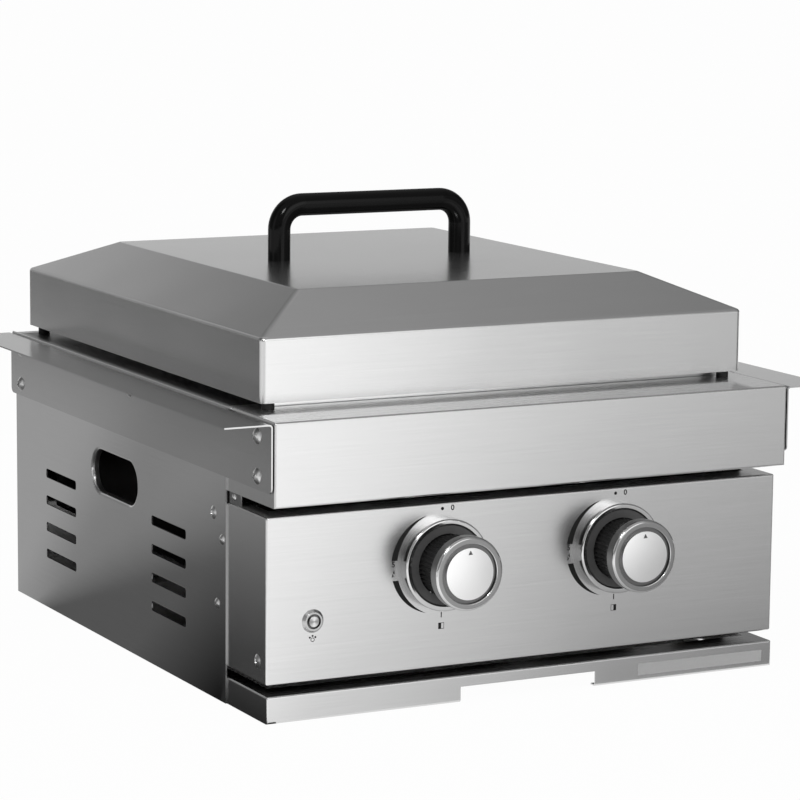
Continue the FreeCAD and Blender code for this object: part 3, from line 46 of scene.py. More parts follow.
MM = 0.001
PANEL_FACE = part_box("control_panel")[0].y
SILL_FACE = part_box("front_sill")[0].y
RIM_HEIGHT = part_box("firebox")[1].z
RIM_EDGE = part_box("firebox")[1].x
RIM_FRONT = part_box("firebox")[0].y
RIM_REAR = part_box("firebox")[1].y
LID_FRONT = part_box("lid_shell")[0].y
LID_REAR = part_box("lid_shell")[1].y
LID_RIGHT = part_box("lid_shell")[1].x
LEDGE_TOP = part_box("front_apron")[1].z
KNOB_X = (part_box("right_knob_disc")[0].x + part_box("right_knob_disc")[1].x) / 2
KNOB_Z = (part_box("right_knob_disc")[0].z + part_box("right_knob_disc")[1].z) / 2
DISC_RADIUS = (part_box("right_knob_disc")[1].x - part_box("right_knob_disc")[0].x) / 2
DISC_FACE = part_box("left_knob_disc")[0].y
CAP_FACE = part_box("left_knob_cap")[0].y
BUTTON_X = (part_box("light_button")[0].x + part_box("light_button")[1].x) / 2
BUTTON_Z = (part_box("light_button")[0].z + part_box("light_button")[1].z) / 2
BUTTON_WELL_RADIUS = 5.9 * MM

# Camera: the photograph's place, direction and field of view
CAMERA_PLACE = (-1.2684, -2.4803, 0.6424)
CAMERA_YAW = math.radians(27.262)
CAMERA_PITCH = math.radians(9.018)
CAMERA_ROLL = math.radians(0.542)
CAMERA_LENS = 149.75
CAMERA_SENSOR = 36.0


# Materials: how they are put together

class Signal:
    """A number that varies over a surface. Arithmetic on it adds Math nodes to its finish."""

    def __init__(self, finish, socket):
        self.finish = finish
        self.socket = socket

    def math(self, operation, *others):
        sockets = [self] + list(others)
        return self.finish.node("ShaderNodeMath", {"operation": operation}, dict(enumerate(sockets))).out(0)

    def __add__(self, other):
        return self.math("ADD", other)

    def __radd__(self, other):
        return self.math("ADD", other)

    def __sub__(self, other):
        return self.math("SUBTRACT", other)

    def __rsub__(self, other):
        return self.finish.node("ShaderNodeMath", {"operation": "SUBTRACT"}, {0: other, 1: self}).out(0)

    def __mul__(self, other):
        return self.math("MULTIPLY", other)

    def __gt__(self, other):
        return self.math("GREATER_THAN", other)

    def __lt__(self, other):
        return self.math("LESS_THAN", other)

    def __abs__(self):
        return self.math("ABSOLUTE")

    def clamped(self, low, high):
        return self.math("MAXIMUM", low).math("MINIMUM", high)

    def rising(self, start, slope, low=0.0, high=1.0):
        """Ramp that is nought at the start and climbs from there, held between low and high."""
        return ((self - start) * slope).clamped(low, high)

    def falling(self, end, slope, low=0.0, high=1.0):
        """Ramp that sinks to nought at the end, held between low and high."""
        return ((end - self) * slope).clamped(low, high)


class Node:
    """One shader node of a finish; out gives an output socket as a signal."""

    def __init__(self, finish, node):
        self.finish = finish
        self.node = node

    def out(self, name):
        return Signal(self.finish, self.node.outputs[name])


class Finish:
    """The node tree of a material, or of the world."""

    def __init__(self, name, tree_owner=None):
        self.material = tree_owner or bpy.data.materials.new(name)
        self.material.use_nodes = True
        self.tree = self.material.node_tree
        self.tree.nodes.clear()

    def node(self, kind, settings=None, inputs=None):
        """Adds a node: settings first, then the values or links of its sockets."""
        node = self.tree.nodes.new(kind)
        for name, value in (settings or {}).items():
            setattr(node, name, value)
        for name, value in (inputs or {}).items():
            if isinstance(value, Signal):
                self.tree.links.new(value.socket, node.inputs[name])
            else:
                node.inputs[name].default_value = value
        return Node(self, node)

    def part(self, vector, axis):
        """One part of a vector signal."""
        return self.node("ShaderNodeSeparateXYZ", {}, {0: vector}).out(axis)

    def place(self):
        return self.node("ShaderNodeTexCoord").out("Object")

    def along(self, axis):
        """One coordinate of the place on the piece."""
        return self.part(self.place(), axis)

    def facing(self, axis):
        """How squarely a face looks along an axis, either way: 0 to 1."""
        return abs(self.part(self.node("ShaderNodeNewGeometry").out("Normal"), axis))

    def stretched_noise(self, scale, detail=3.0, roughness=0.6):
        """Noise on Object coordinates with its own scale along each axis, per metre."""
        mapped = self.node("ShaderNodeMapping", {}, {"Vector": self.place(), "Scale": scale})
        inputs = {"Vector": mapped.out("Vector"), "Scale": 1.0, "Detail": detail, "Roughness": roughness}
        return self.node("ShaderNodeTexNoise", {}, inputs).out("Fac")

    def noise(self, scale, detail):
        """Noise with one scale on all axes, per metre."""
        return self.stretched_noise((scale, scale, scale), detail)

    def bump(self, height, strength, depth, under=None):
        """Normal from a height; under is the normal of a finer relief that it is laid on."""
        inputs = {"Height": height, "Strength": strength, "Distance": depth}
        if under:
            inputs["Normal"] = under
        return self.node("ShaderNodeBump", {}, inputs).out("Normal")

    def mixed(self, amount, first, second):
        """First colour where the amount is 0 and the second where it is 1."""
        return self.node("ShaderNodeMix", {"data_type": "RGBA"}, {0: amount, 6: first, 7: second}).out(2)

    def tinted(self, amount, dark, light):
        """Colour between two greys or tints, by a signal from 0 to 1."""
        return self.mixed(amount, (*dark, 1), (*light, 1))

    def end(self, shader, kind):
        """Links a shader node to the tree's output."""
        output = self.node(kind)
        self.tree.links.new(shader.node.outputs[0], output.node.inputs[0])

    def shader(self, **inputs):
        """Ends the material with a Principled shader; a socket's name is written with _ for a space."""
        named = {name.replace("_", " "): value for name, value in inputs.items()}
        self.end(self.node("ShaderNodeBsdfPrincipled", {}, named), "ShaderNodeOutputMaterial")
        return self.material


def grey(level):
    return (level, level, level)


def greys_about(level, share):
    """A darker and a lighter grey, a share below and above the level."""
    return grey(level * (1 - share)), grey(level * (1 + share))


# Materials: sheet steel

# Brushing, in lines per metre: hair-fine, coarser and broad, and how often a line changes on its way
HAIR_LINES = 5200
STREAK_LINES = 900
BROAD_LINES = 55
LINE_CHANGES = 14

# Noise scales per metre: clouds in the brushing, waves of the sheet, and patches of smoke and heat
CLOUD_SCALE = 9
WAVE_SCALE = 7
SMOKE_SCALE = 18

# Parts of a face's normal: above the first it looks sideways, above the second it lies flat, and below the
# third, on a side panel, it is a cut edge
LOOKS_SIDEWAYS = 0.75
LIES_FLAT = 0.97
IS_CUT_EDGE = 0.5

# Relief depths
BRUSHED_DEPTH = 0.5 * MM
WAVE_DEPTH = 2.0 * MM
FINE_DEPTH = 0.1 * MM
MOULDED_DEPTH = 0.2 * MM
GRITTY_DEPTH = 0.3 * MM

# Shares in the sheet's tone, what is added to its roughness, its relief, and how far its greys spread
HAIR_TONE = 0.45
STREAK_TONE = 0.3
BROAD_TONE = 0.1
CLOUD_TONE = 0.15
STREAK_ROUGHNESS = 0.03
CLOUD_ROUGHNESS = 0.03
FLAT_ROUGHNESS = 0.04
CUT_EDGE_ROUGHNESS = 0.2
BRUSHED_RELIEF = 0.036
BRUSHED_SPREAD = 0.13
PLAIN_SPREAD = 0.1

# Where the ledge's lean ends, the bright edges and depth of the firebox's rim round its painted lid shade, and
# how fast both fade per metre
LEAN_INSET = 15.0 * MM
LEAN_FADE = 100.0
RIM_BRIGHT_WIDTH = 1.5 * MM
RIM_DEPTH = 3.0 * MM
REAR_BRIGHT_WIDTH = 4.0 * MM
LID_SHADE_FADE = 110.0


def brush_lines(finish, fineness):
    """Streaks along the sheet: along X on most faces and along Y on faces that look sideways."""
    across = finish.stretched_noise((LINE_CHANGES, fineness, fineness))
    along = finish.stretched_noise((fineness, LINE_CHANGES, fineness))
    sideways = finish.facing("X") > LOOKS_SIDEWAYS
    return across + sideways * (along - across)


def leaned(finish, ridges, amount):
    """Normals turned to the front by the amount, on the ledge before the lid."""
    before_lid = finish.along("X").falling(LID_RIGHT - LEAN_INSET, LEAN_FADE)
    before_lid = before_lid * (LID_FRONT - LEAN_INSET > finish.along("Y"))
    turn = finish.node("ShaderNodeCombineXYZ", {}, {1: amount * before_lid}).out("Vector")
    leaning = finish.node("ShaderNodeVectorMath", {"operation": "ADD"}, {0: ridges, 1: turn}).out("Vector")
    return finish.node("ShaderNodeVectorMath", {"operation": "NORMALIZE"}, {0: leaning}).out("Vector")


def brushed_steel(name, level, rough, grain=1.0, cut_edges=None, flat_painted_level=None, flat_dull=0.0, lean=0.0,
                  wave=0.0):
    """Stainless sheet with hair-fine brushing and faint broad streaks.

    cut_edges is the grey of sheared edges, and flat_painted_level a grey of level faces that is painted light
    or shade, lighter or darker than the sheet. flat_dull says how much of the shine of level faces is gone,
    lean how far their brushed ridges turn to the front before the lid, and wave how uneven the sheet is.
    """
    finish = Finish(name)
    flat = finish.facing("Z") > LIES_FLAT
    hairs = brush_lines(finish, HAIR_LINES)
    streaks = brush_lines(finish, STREAK_LINES)
    cloud = finish.noise(CLOUD_SCALE, detail=2.0)
    broad = brush_lines(finish, BROAD_LINES)
    tone = hairs * HAIR_TONE + streaks * STREAK_TONE + broad * BROAD_TONE + cloud * CLOUD_TONE
    colour = finish.tinted(tone, *greys_about(level, BRUSHED_SPREAD * grain))
    roughness = rough + streaks * (STREAK_ROUGHNESS * grain) + (cloud - 0.5) * CLOUD_ROUGHNESS
    roughness = roughness + flat * FLAT_ROUGHNESS
    # Level faces get a grey of their own: painted light or shade.
    if flat_painted_level:
        colour = finish.mixed(flat, colour, finish.tinted(hairs, *greys_about(flat_painted_level, PLAIN_SPREAD)))
    if cut_edges:
        edge = IS_CUT_EDGE > finish.facing("X")
        colour = finish.mixed(edge, colour, finish.tinted(hairs, *greys_about(cut_edges, PLAIN_SPREAD)))
        roughness = roughness + edge * CUT_EDGE_ROUGHNESS
    ridges = finish.bump(hairs, BRUSHED_RELIEF * grain, BRUSHED_DEPTH)
    if wave:
        ridges = finish.bump(finish.noise(WAVE_SCALE, detail=1.0), wave, WAVE_DEPTH, ridges)
    if lean:
        ridges = leaned(finish, ridges, flat * -lean)
    metallic = 1.0 - flat * flat_dull if flat_dull else 1.0
    return finish.shader(Base_Color=colour, Metallic=metallic, Roughness=roughness, Normal=ridges)


def heat_dulled_steel(name, level):
    """Stainless inside the firebox: duller, with soft brown heat tint in patches."""
    finish = Finish(name)
    tint = (finish.noise(SMOKE_SCALE, detail=4.0) * 1.6 - 0.45).clamped(0.0, 1.0)
    speckle = finish.noise(260, detail=2.0)
    colour = finish.tinted(tint, grey(level), (level * 0.78, level * 0.72, level * 0.66))
    return finish.shader(Base_Color=colour, Metallic=1.0, Roughness=0.42 + speckle * 0.16,
                         Normal=finish.bump(speckle, 0.08, GRITTY_DEPTH))


def firebox_sheet(name, rim_level, smoke_and_shade_level):
    """Firebox: rim with a bright edge and painted shade where the lid covers it, over walls and hopper with a
    smoky tint that is held near black as painted shade.
    """
    finish = Finish(name)
    # Painted shade: the rim is darkened where the lid covers it.
    under_lid_shade = abs(finish.along("X")).falling(RIM_EDGE - RIM_BRIGHT_WIDTH, LID_SHADE_FADE)
    under_lid_shade = under_lid_shade * (LID_REAR - REAR_BRIGHT_WIDTH > finish.along("Y"))
    is_rim = finish.along("Z") > RIM_HEIGHT - RIM_DEPTH
    hairs = brush_lines(finish, HAIR_LINES)
    cloud = finish.noise(SMOKE_SCALE, detail=4.0)
    # The walls and hopper keep a smoky brown tint at a near-black level: painted shade.
    brown = (smoke_and_shade_level * 1.5, smoke_and_shade_level * 1.35, smoke_and_shade_level * 1.2)
    smoke_and_shade = finish.tinted(cloud, grey(smoke_and_shade_level * 0.6), brown)
    bright = finish.tinted(hairs, *greys_about(rim_level, PLAIN_SPREAD))
    painted_lid_shade = finish.tinted(hairs, grey(rim_level * 0.05), grey(rim_level * 0.09))
    colour = finish.mixed(is_rim, smoke_and_shade, finish.mixed(under_lid_shade, bright, painted_lid_shade))
    return finish.shader(Base_Color=colour, Metallic=1.0 - is_rim * 0.4,
                         Roughness=0.50 + cloud * 0.15 - is_rim * 0.2,
                         Normal=finish.bump(hairs, 0.12, BRUSHED_DEPTH))


# Materials: plated and turned metal

# Noise scales per metre, along X, Y and Z or the same for all three
SMEAR_SCALE = (60, 60, 25)
HAIRLINE_SCALE = (2200, 2200, 120)
CAP_HAIR_SCALE = (900, 60, 900)
BUTTON_HAIR_SCALE = 1500

# Parts of a face's normal to the front: above the first it is the cap's front, and below the others a wall
CAP_FRONT = 0.96
CAP_WALL = 0.3
BEZEL_WALL = 0.35

# Turning marks of the disc in radians per metre, the cap's groove and its painted shade, the painted highlight
# on top of the bezel's wall, and a small area that keeps the plunger's middle from a division by nought
TURNING_MARKS = 9000.0
CAP_GROOVE_DEPTH = 1.2 * MM
CAP_GROOVE_WIDTH = 3.5 * MM
CAP_GROOVE_SHADE_LEVEL = 0.17
BEZEL_HIGHLIGHT_HEIGHT = 12.0 * MM
SPUN_CENTRE = 1e-7


def polished_metal(name, colour, rough):
    """Plated or polished metal with faint hairlines and finger smears."""
    finish = Finish(name)
    smear = finish.stretched_noise(SMEAR_SCALE, 3.0)
    hair = finish.stretched_noise(HAIRLINE_SCALE, 2.0)
    tone = finish.tinted(smear, tuple(c * 0.92 for c in colour), colour)
    return finish.shader(Base_Color=tone, Metallic=1.0, Roughness=rough + smear * 0.05 + hair * 0.02,
                         Normal=finish.bump(hair, 0.02, FINE_DEPTH))


def knob_radius(finish):
    """Distance from the knob's own axis, on either knob."""
    across = abs(finish.along("X")) - KNOB_X
    height = finish.along("Z") - KNOB_Z
    return (across * across + height * height).math("SQRT")


def turned_disc(name, level):
    """Satin disc face with concentric turning marks round the knob's axis."""
    finish = Finish(name)
    marks = (knob_radius(finish) * TURNING_MARKS).math("SINE") * 0.5 + 0.5
    cloud = finish.noise(40, detail=2.0)
    colour = finish.tinted(marks * 0.5 + cloud * 0.5, *greys_about(level, 0.06))
    return finish.shader(Base_Color=colour, Metallic=1.0, Roughness=0.28 + marks * 0.08,
                         Normal=finish.bump(marks, 0.03, FINE_DEPTH))


def cap_chrome(name, edge_highlight_level, ring_level, wall_level):
    """Knob cap: satin front ring and wall, a painted highlight on the rounded edge, and painted shade in the
    groove round the disc.
    """
    finish = Finish(name)
    inside = DISC_RADIUS + CAP_GROOVE_WIDTH > knob_radius(finish)
    groove = (finish.along("Y") > CAP_FACE + CAP_GROOVE_DEPTH) * inside
    facing = finish.facing("Y")
    front = facing > CAP_FRONT
    wall = CAP_WALL > facing
    hairs = finish.stretched_noise(CAP_HAIR_SCALE, 2.0)
    smear = finish.stretched_noise(SMEAR_SCALE, 3.0)
    # Painted light: the rounded edge is kept bright as a highlight, and the groove dark as shade.
    level = edge_highlight_level + front * (ring_level - edge_highlight_level) + wall * (wall_level - edge_highlight_level)
    level = level + groove * (CAP_GROOVE_SHADE_LEVEL - ring_level)
    colour = finish.tinted(level * (0.92 + smear * 0.1 + hairs * 0.06), grey(0.0), grey(1.0))
    return finish.shader(Base_Color=colour, Metallic=1.0, Normal=finish.bump(hairs, 0.03, FINE_DEPTH),
                         Roughness=0.13 + smear * 0.05 + (front + wall).clamped(0.0, 1.0) * 0.2)


def bezel_chrome(name, rim_level, wall_level):
    """Bezel: polished front rim, and a duller wall with a painted highlight on top."""
    finish = Finish(name)
    wall = BEZEL_WALL > finish.facing("Y")
    # Painted highlight on the top of the wall.
    top_highlight = (finish.along("Z") - KNOB_Z).rising(BEZEL_HIGHLIGHT_HEIGHT, 30.0, 0.0, 0.6)
    smear = finish.stretched_noise(SMEAR_SCALE, 3.0)
    hair = finish.stretched_noise(HAIRLINE_SCALE, 2.0)
    level = rim_level + wall * (wall_level + top_highlight - rim_level)
    colour = finish.tinted(level * (0.92 + smear * 0.12), grey(0.0), grey(1.0))
    return finish.shader(Base_Color=colour, Metallic=1.0, Roughness=0.08 + smear * 0.05 + wall * 0.08,
                         Normal=finish.bump(hair, 0.02, FINE_DEPTH))


def button_place(finish):
    """Distance across and height from the push button's axis."""
    return finish.along("X") - BUTTON_X, finish.along("Z") - BUTTON_Z


def button_steel(name, level, well_shade_level):
    """Push button's housing: satin, with painted shade in the well round the plunger."""
    finish = Finish(name)
    across, height = button_place(finish)
    # The well round the plunger is darkened: painted shade.
    well = BUTTON_WELL_RADIUS > (across * across + height * height).math("SQRT")
    hair = finish.noise(BUTTON_HAIR_SCALE, detail=2.0)
    return finish.shader(Base_Color=finish.tinted(well, grey(level), grey(well_shade_level)), Metallic=1.0,
                         Roughness=0.2 + hair * 0.08, Normal=finish.bump(hair, 0.03, FINE_DEPTH))


def spun_steel(name, dark, light):
    """Plunger's face, brushed in rings, with a painted highlight above and below its middle."""
    finish = Finish(name)
    across, height = button_place(finish)
    # Painted highlight: lighter above and below the middle, where ring brushing would shine.
    upright = (height * height).math("DIVIDE", across * across + height * height + SPUN_CENTRE)
    hair = finish.noise(BUTTON_HAIR_SCALE, detail=2.0)
    return finish.shader(Base_Color=finish.tinted(upright, grey(dark), grey(light)), Metallic=1.0,
                         Roughness=0.30 + hair * 0.05, Normal=finish.bump(hair, 0.02, FINE_DEPTH))


def cast_metal(name, colour, metallic, rough):
    """Cast, machined or painted metal inside the control box."""
    finish = Finish(name)
    grit = finish.noise(420, detail=3.0)
    cloud = finish.noise(35, detail=3.0)
    tone = finish.tinted(cloud, tuple(c * 0.82 for c in colour), tuple(min(1.0, c * 1.12) for c in colour))
    return finish.shader(Base_Color=tone, Metallic=metallic, Roughness=rough + grit * 0.12,
                         Normal=finish.bump(grit, 0.12, GRITTY_DEPTH))


# Materials: plastic, ceramic and print

def moulded_black(name, level, rough, grain, gloss=0.5):
    """Black plastic, coating or rubber with a fine moulded grain and worn-grey patches."""
    finish = Finish(name)
    fine = finish.noise(grain, detail=2.0)
    cloud = finish.noise(30, detail=3.0)
    colour = finish.tinted(cloud, grey(level * 0.7), grey(level * 1.5))
    return finish.shader(Base_Color=colour, Roughness=rough - 0.05 + fine * 0.10, Specular_IOR_Level=gloss,
                         Normal=finish.bump(fine, 0.10, MOULDED_DEPTH))


def smoked_plastic(name):
    """Light ring's smoked plastic, with a faint moulding swirl."""
    finish = Finish(name)
    swirl = finish.noise(120, detail=3.0)
    colour = finish.tinted(swirl, grey(0.075), grey(0.105))
    return finish.shader(Base_Color=colour, Roughness=0.36 + swirl * 0.08)


def glazed(name):
    """White glazed ceramic with a few darker specks."""
    finish = Finish(name)
    speck = finish.noise(500, detail=2.0)
    return finish.shader(Base_Color=finish.tinted(speck, (0.70, 0.68, 0.64), (0.90, 0.89, 0.86)),
                         Roughness=0.12 + speck * 0.06)


def printed_ink(name):
    """Screen-printed black ink, slightly uneven."""
    finish = Finish(name)
    uneven = finish.noise(900, detail=2.0)
    colour = finish.tinted(uneven, grey(0.006), grey(0.016))
    return finish.shader(Base_Color=colour, Roughness=0.5 + uneven * 0.1, Specular_IOR_Level=0.2)


def pale_film(name):
    """Film of the blank plate, with faint fibres."""
    finish = Finish(name)
    fibre = finish.noise(700, detail=2.0)
    colour = finish.tinted(fibre, grey(0.50), grey(0.58))
    return finish.shader(Base_Color=colour, Roughness=0.40 + fibre * 0.1)


# Materials: which piece has which finish

finishes = {
    "brushed_stainless": brushed_steel("brushed_stainless", 0.68, 0.22),
    "firebox_steel": heat_dulled_steel("firebox_steel", 0.40),
    "grate_steel": brushed_steel("grate_steel", 0.50, 0.24, grain=0.4),
    "screw_steel": polished_metal("screw_steel", grey(0.74), 0.25),
    "polished_chrome": polished_metal("polished_chrome", grey(0.66), 0.09),
    "satin_disc": turned_disc("satin_disc", 0.90),
    "black_grip": moulded_black("black_grip", 0.014, 0.28, 1400),
    "black_handle": moulded_black("black_handle", 0.003, 0.12, 900, gloss=0.14),
    "black_rubber": moulded_black("black_rubber", 0.010, 0.62, 700),
    "light_ring_plastic": smoked_plastic("light_ring_plastic"),
    "manifold_steel": cast_metal("manifold_steel", grey(0.22), 0.3, 0.40),
    "valve_aluminium": cast_metal("valve_aluminium", grey(0.56), 1.0, 0.38),
    "gas_brass": cast_metal("gas_brass", (0.60, 0.46, 0.22), 1.0, 0.26),
    "igniter_ceramic": glazed("igniter_ceramic"),
}
cap_finish = cap_chrome("cap_chrome", edge_highlight_level=0.64, ring_level=0.31, wall_level=0.24)
side_finish = brushed_steel("side_panel_steel", 0.68, 0.11, cut_edges=0.42, wave=0.15)
bezel_finish = bezel_chrome("bezel_chrome", rim_level=0.64, wall_level=0.29)
special_finishes = {
    # Level faces: the apron's ledge lighter than the sheet as painted light; the panel's flanges greyer and the
    # sill's top nearly black as painted shade.
    "front_apron": brushed_steel("apron_steel", 0.68, 0.22, flat_painted_level=0.86, lean=0.15, wave=0.1),
    "control_panel": brushed_steel("panel_steel", 0.68, 0.22, flat_painted_level=0.5, flat_dull=0.3, wave=0.1),
    "front_sill": brushed_steel("sill_steel", 0.68, 0.22, flat_painted_level=0.06),
    # The straps are the sheet's steel held much darker: painted shade.
    "apron_straps": brushed_steel("strap_shaded_steel", 0.26, 0.30),
    "lid_shell": brushed_steel("lid_steel", 0.68, 0.17, wave=0.3),
    "left_bezel": bezel_finish,
    "right_bezel": bezel_finish,
    "button_housing": button_steel("button_steel", 0.50, well_shade_level=0.12),
    "light_button": spun_steel("plunger_steel", dark=0.29, light=0.76),
    # Firebox walls and hopper held near black: painted shade.
    "firebox": firebox_sheet("firebox_sheet", rim_level=0.66, smoke_and_shade_level=0.015),
    "left_knob_cap": cap_finish,
    "right_knob_cap": cap_finish,
    "left_side_panel": side_finish,
    "right_side_panel": side_finish,
    # The left bracket is a darker copy of the right one, with darker level faces: painted shade.
    "left_hanger_bracket": brushed_steel("left_bracket_shaded_steel", 0.58, 0.14, flat_painted_level=0.46),
    "right_hanger_bracket": brushed_steel("right_bracket_steel", 0.62, 0.14),
}
ink = printed_ink("panel_ink")
label_film = pale_film("label_film")
pointer_paint = moulded_black("pointer_paint", 0.09, 0.35, 900)

for subpart in frame["record"]["subparts"]:
    slots = nodes[subpart["node"]].data.materials
    slots.clear()
    slots.append(special_finishes.get(subpart["node"], finishes[subpart["material_slot"]]))


# Modelling helpers

def start_fresh():
    """Leaves nothing selected, in Object mode."""
    if bpy.context.object and bpy.context.object.mode != "OBJECT":
        bpy.ops.object.mode_set(mode="OBJECT")
    bpy.ops.object.select_all(action="DESELECT")


def settle(name, material, body):
    """Puts the active piece's place into its mesh and lets it ride on its body."""
    piece = bpy.context.object
    piece.name = name
    piece.data.name = name
    bpy.ops.object.transform_apply(location=True, rotation=True, scale=True)
    piece.data.materials.clear()
    piece.data.materials.append(material)
    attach(piece, body)
    start_fresh()


def resize(scale):
    """Scales the active piece's mesh about the piece's own origin."""
    bpy.context.object.scale = scale
    bpy.ops.object.transform_apply(location=False, rotation=False, scale=True)


def edit_all():
    bpy.ops.object.mode_set(mode="EDIT")
    bpy.ops.mesh.select_all(action="SELECT")


def thicken(depth):
    """Turns the active flat face, which faces the front, into a thin plate that stands out by the depth."""
    edit_all()
    bpy.ops.mesh.extrude_region_move(TRANSFORM_OT_translate={"value": (0, -depth, 0)})
    bpy.ops.mesh.select_all(action="SELECT")
    bpy.ops.mesh.normals_make_consistent(inside=False)
    bpy.ops.object.mode_set(mode="OBJECT")


def outline_only(line):
    """Cuts the middle out of the active flat face and leaves a rim as wide as the line."""
    edit_all()
    bpy.ops.mesh.inset(thickness=line)
    bpy.ops.mesh.delete(type="FACE")
    bpy.ops.object.mode_set(mode="OBJECT")


def front_polygon(sides, radius, x, y, z, spin=0.0):
    """Flat regular polygon that faces the front."""
    start_fresh()
    bpy.ops.mesh.primitive_circle_add(vertices=sides, radius=radius, fill_type="NGON",
                                      location=(x, y, z), rotation=(math.pi / 2, spin, 0))
    bpy.ops.object.transform_apply(location=False, rotation=True, scale=True)


# Printed marks on the control panel

INK = 0.06 * MM
ROUND_SIDES = 32
BAND_SIDES = 128

BAND_OUTER = 39.4 * MM
BAND_OUTER_SHIFT = 4.8 * MM
BAND_INNER = 41.55 * MM
BAND_INNER_SHIFT = 2.35 * MM
BAND_CUTTER_DEPTH = 10.0 * MM
BAND_GAP_TOP = 5.1 * MM
BAND_GAP_BOTTOM = -10.6 * MM

FIGURE_HEIGHT = 4.2 * MM
CAPITAL_SHARE = 0.7
FIGURE_BOLDNESS = 0.03
OFF_RISE = 43.0 * MM
OFF_DOT_RADIUS = 1.3 * MM
OFF_FIGURE_SHIFT = 9.0 * MM
HIGH_SHIFT = 42.3 * MM
HIGH_FIGURE_RISE = 2.2 * MM
LOW_DROP = 41.3 * MM

SPARK_DROP = 5.2 * MM
SPARK_RADIUS = 1.9 * MM
SPARK_WIDTH_SHARE = 0.45
SPARK_SHIFT = 0.5 * MM
SPARK_RISE = 1.3 * MM
SPARK_LEAN = 0.35

BURNER_SIGN_DROP = 49.9 * MM
BURNER_SIGN_HALF = 2.5 * MM
BURNER_SIGN_LINE = 0.35 * MM

LAMP_SIGN_DROP = 14.6 * MM
LAMP_RADIUS = 1.7 * MM
LAMP_LINE = 0.5 * MM
RAY_REACH = 3.0 * MM
RAY_RADIUS = 1.0 * MM
RAY_TURN = 0.9


def settle_print(name):
    settle(name, ink, "body")


def level_band_half(name, knob_x, upper):
    """One half of the level band beside a knob: wide at the side, thin towards the top or bottom."""
    front_polygon(BAND_SIDES, BAND_OUTER, knob_x - BAND_OUTER_SHIFT, PANEL_FACE, KNOB_Z)
    thicken(INK)
    band = bpy.context.object
    bpy.ops.object.select_all(action="DESELECT")
    bpy.ops.mesh.primitive_cylinder_add(vertices=BAND_SIDES, radius=BAND_INNER, depth=BAND_CUTTER_DEPTH,
                                        location=(knob_x + BAND_INNER_SHIFT, PANEL_FACE, KNOB_Z),
                                        rotation=(math.pi / 2, 0, 0))
    core = bpy.context.object
    bpy.ops.object.select_all(action="DESELECT")
    band.select_set(True)
    bpy.context.view_layer.objects.active = band
    cut = band.modifiers.new("core", "BOOLEAN")
    cut.operation = "DIFFERENCE"
    cut.solver = "EXACT"
    cut.object = core
    bpy.ops.object.modifier_apply(modifier=cut.name)
    bpy.data.objects.remove(core)
    bpy.ops.object.transform_apply(location=True, rotation=True, scale=True)
    gap_edge = KNOB_Z + (BAND_GAP_TOP if upper else BAND_GAP_BOTTOM)
    edit_all()
    bpy.ops.mesh.bisect(plane_co=(knob_x, PANEL_FACE, gap_edge), plane_no=(0, 0, 1), use_fill=True,
                        clear_inner=upper, clear_outer=not upper)
    bpy.ops.object.mode_set(mode="OBJECT")
    settle_print(name)


def dot(name, x, z, radius):
    front_polygon(ROUND_SIDES, radius, x, PANEL_FACE, z)
    thicken(INK)
    settle_print(name)


def figure(name, text, x, z):
    """A plain printed figure, centred on its place."""
    start_fresh()
    bpy.ops.object.text_add(location=(0, 0, 0))
    letter = bpy.context.object
    letter.data.body = text
    letter.data.size = FIGURE_HEIGHT / CAPITAL_SHARE
    letter.data.offset = FIGURE_BOLDNESS * FIGURE_HEIGHT
    letter.data.extrude = INK / 2
    letter.data.align_x = "CENTER"
    letter.data.align_y = "CENTER"
    bpy.ops.object.convert(target="MESH")
    piece = bpy.context.object
    piece.rotation_euler = (math.pi / 2, 0, 0)
    piece.location = (x, PANEL_FACE - INK / 2, z)
    settle_print(name)


def burner_sign(name, knob_x, filled_side):
    """Square outline with one half filled: which burner the knob is for."""
    half = BURNER_SIGN_HALF
    z = KNOB_Z - BURNER_SIGN_DROP
    front_polygon(4, half * math.sqrt(2), knob_x, PANEL_FACE, z, math.pi / 4)
    outline_only(BURNER_SIGN_LINE)
    thicken(INK)
    settle_print(f"{name}_outline")
    front_polygon(4, half * math.sqrt(2), knob_x + filled_side * half / 2, PANEL_FACE, z, math.pi / 4)
    resize((0.5, 1, 1))
    thicken(INK)
    settle_print(f"{name}_fill")


def spark_sign(name, x, z):
    """Two-stroke spark beside the highest setting."""
    for part, side in (("upper", 1), ("lower", -1)):
        front_polygon(3, SPARK_RADIUS, x + side * SPARK_SHIFT, PANEL_FACE, z + side * SPARK_RISE,
                      side * SPARK_LEAN)
        resize((SPARK_WIDTH_SHARE, 1, 1))
        thicken(INK)
        settle_print(f"{name}_{part}")


def lamp_sign():
    """Small lamp sign under the push button: a ring with three short rays over it."""
    z = BUTTON_Z - LAMP_SIGN_DROP
    front_polygon(ROUND_SIDES, LAMP_RADIUS, BUTTON_X, PANEL_FACE, z)
    outline_only(LAMP_LINE)
    thicken(INK)
    settle_print("lamp_sign_ring")
    for i, turn in enumerate((-RAY_TURN, 0.0, RAY_TURN)):
        place = Vector((math.sin(turn), math.cos(turn))) * RAY_REACH
        front_polygon(4, RAY_RADIUS, BUTTON_X + place.x, PANEL_FACE, z + place.y, math.pi / 4 + turn)
        thicken(INK)
        settle_print(f"lamp_sign_ray_{i}")


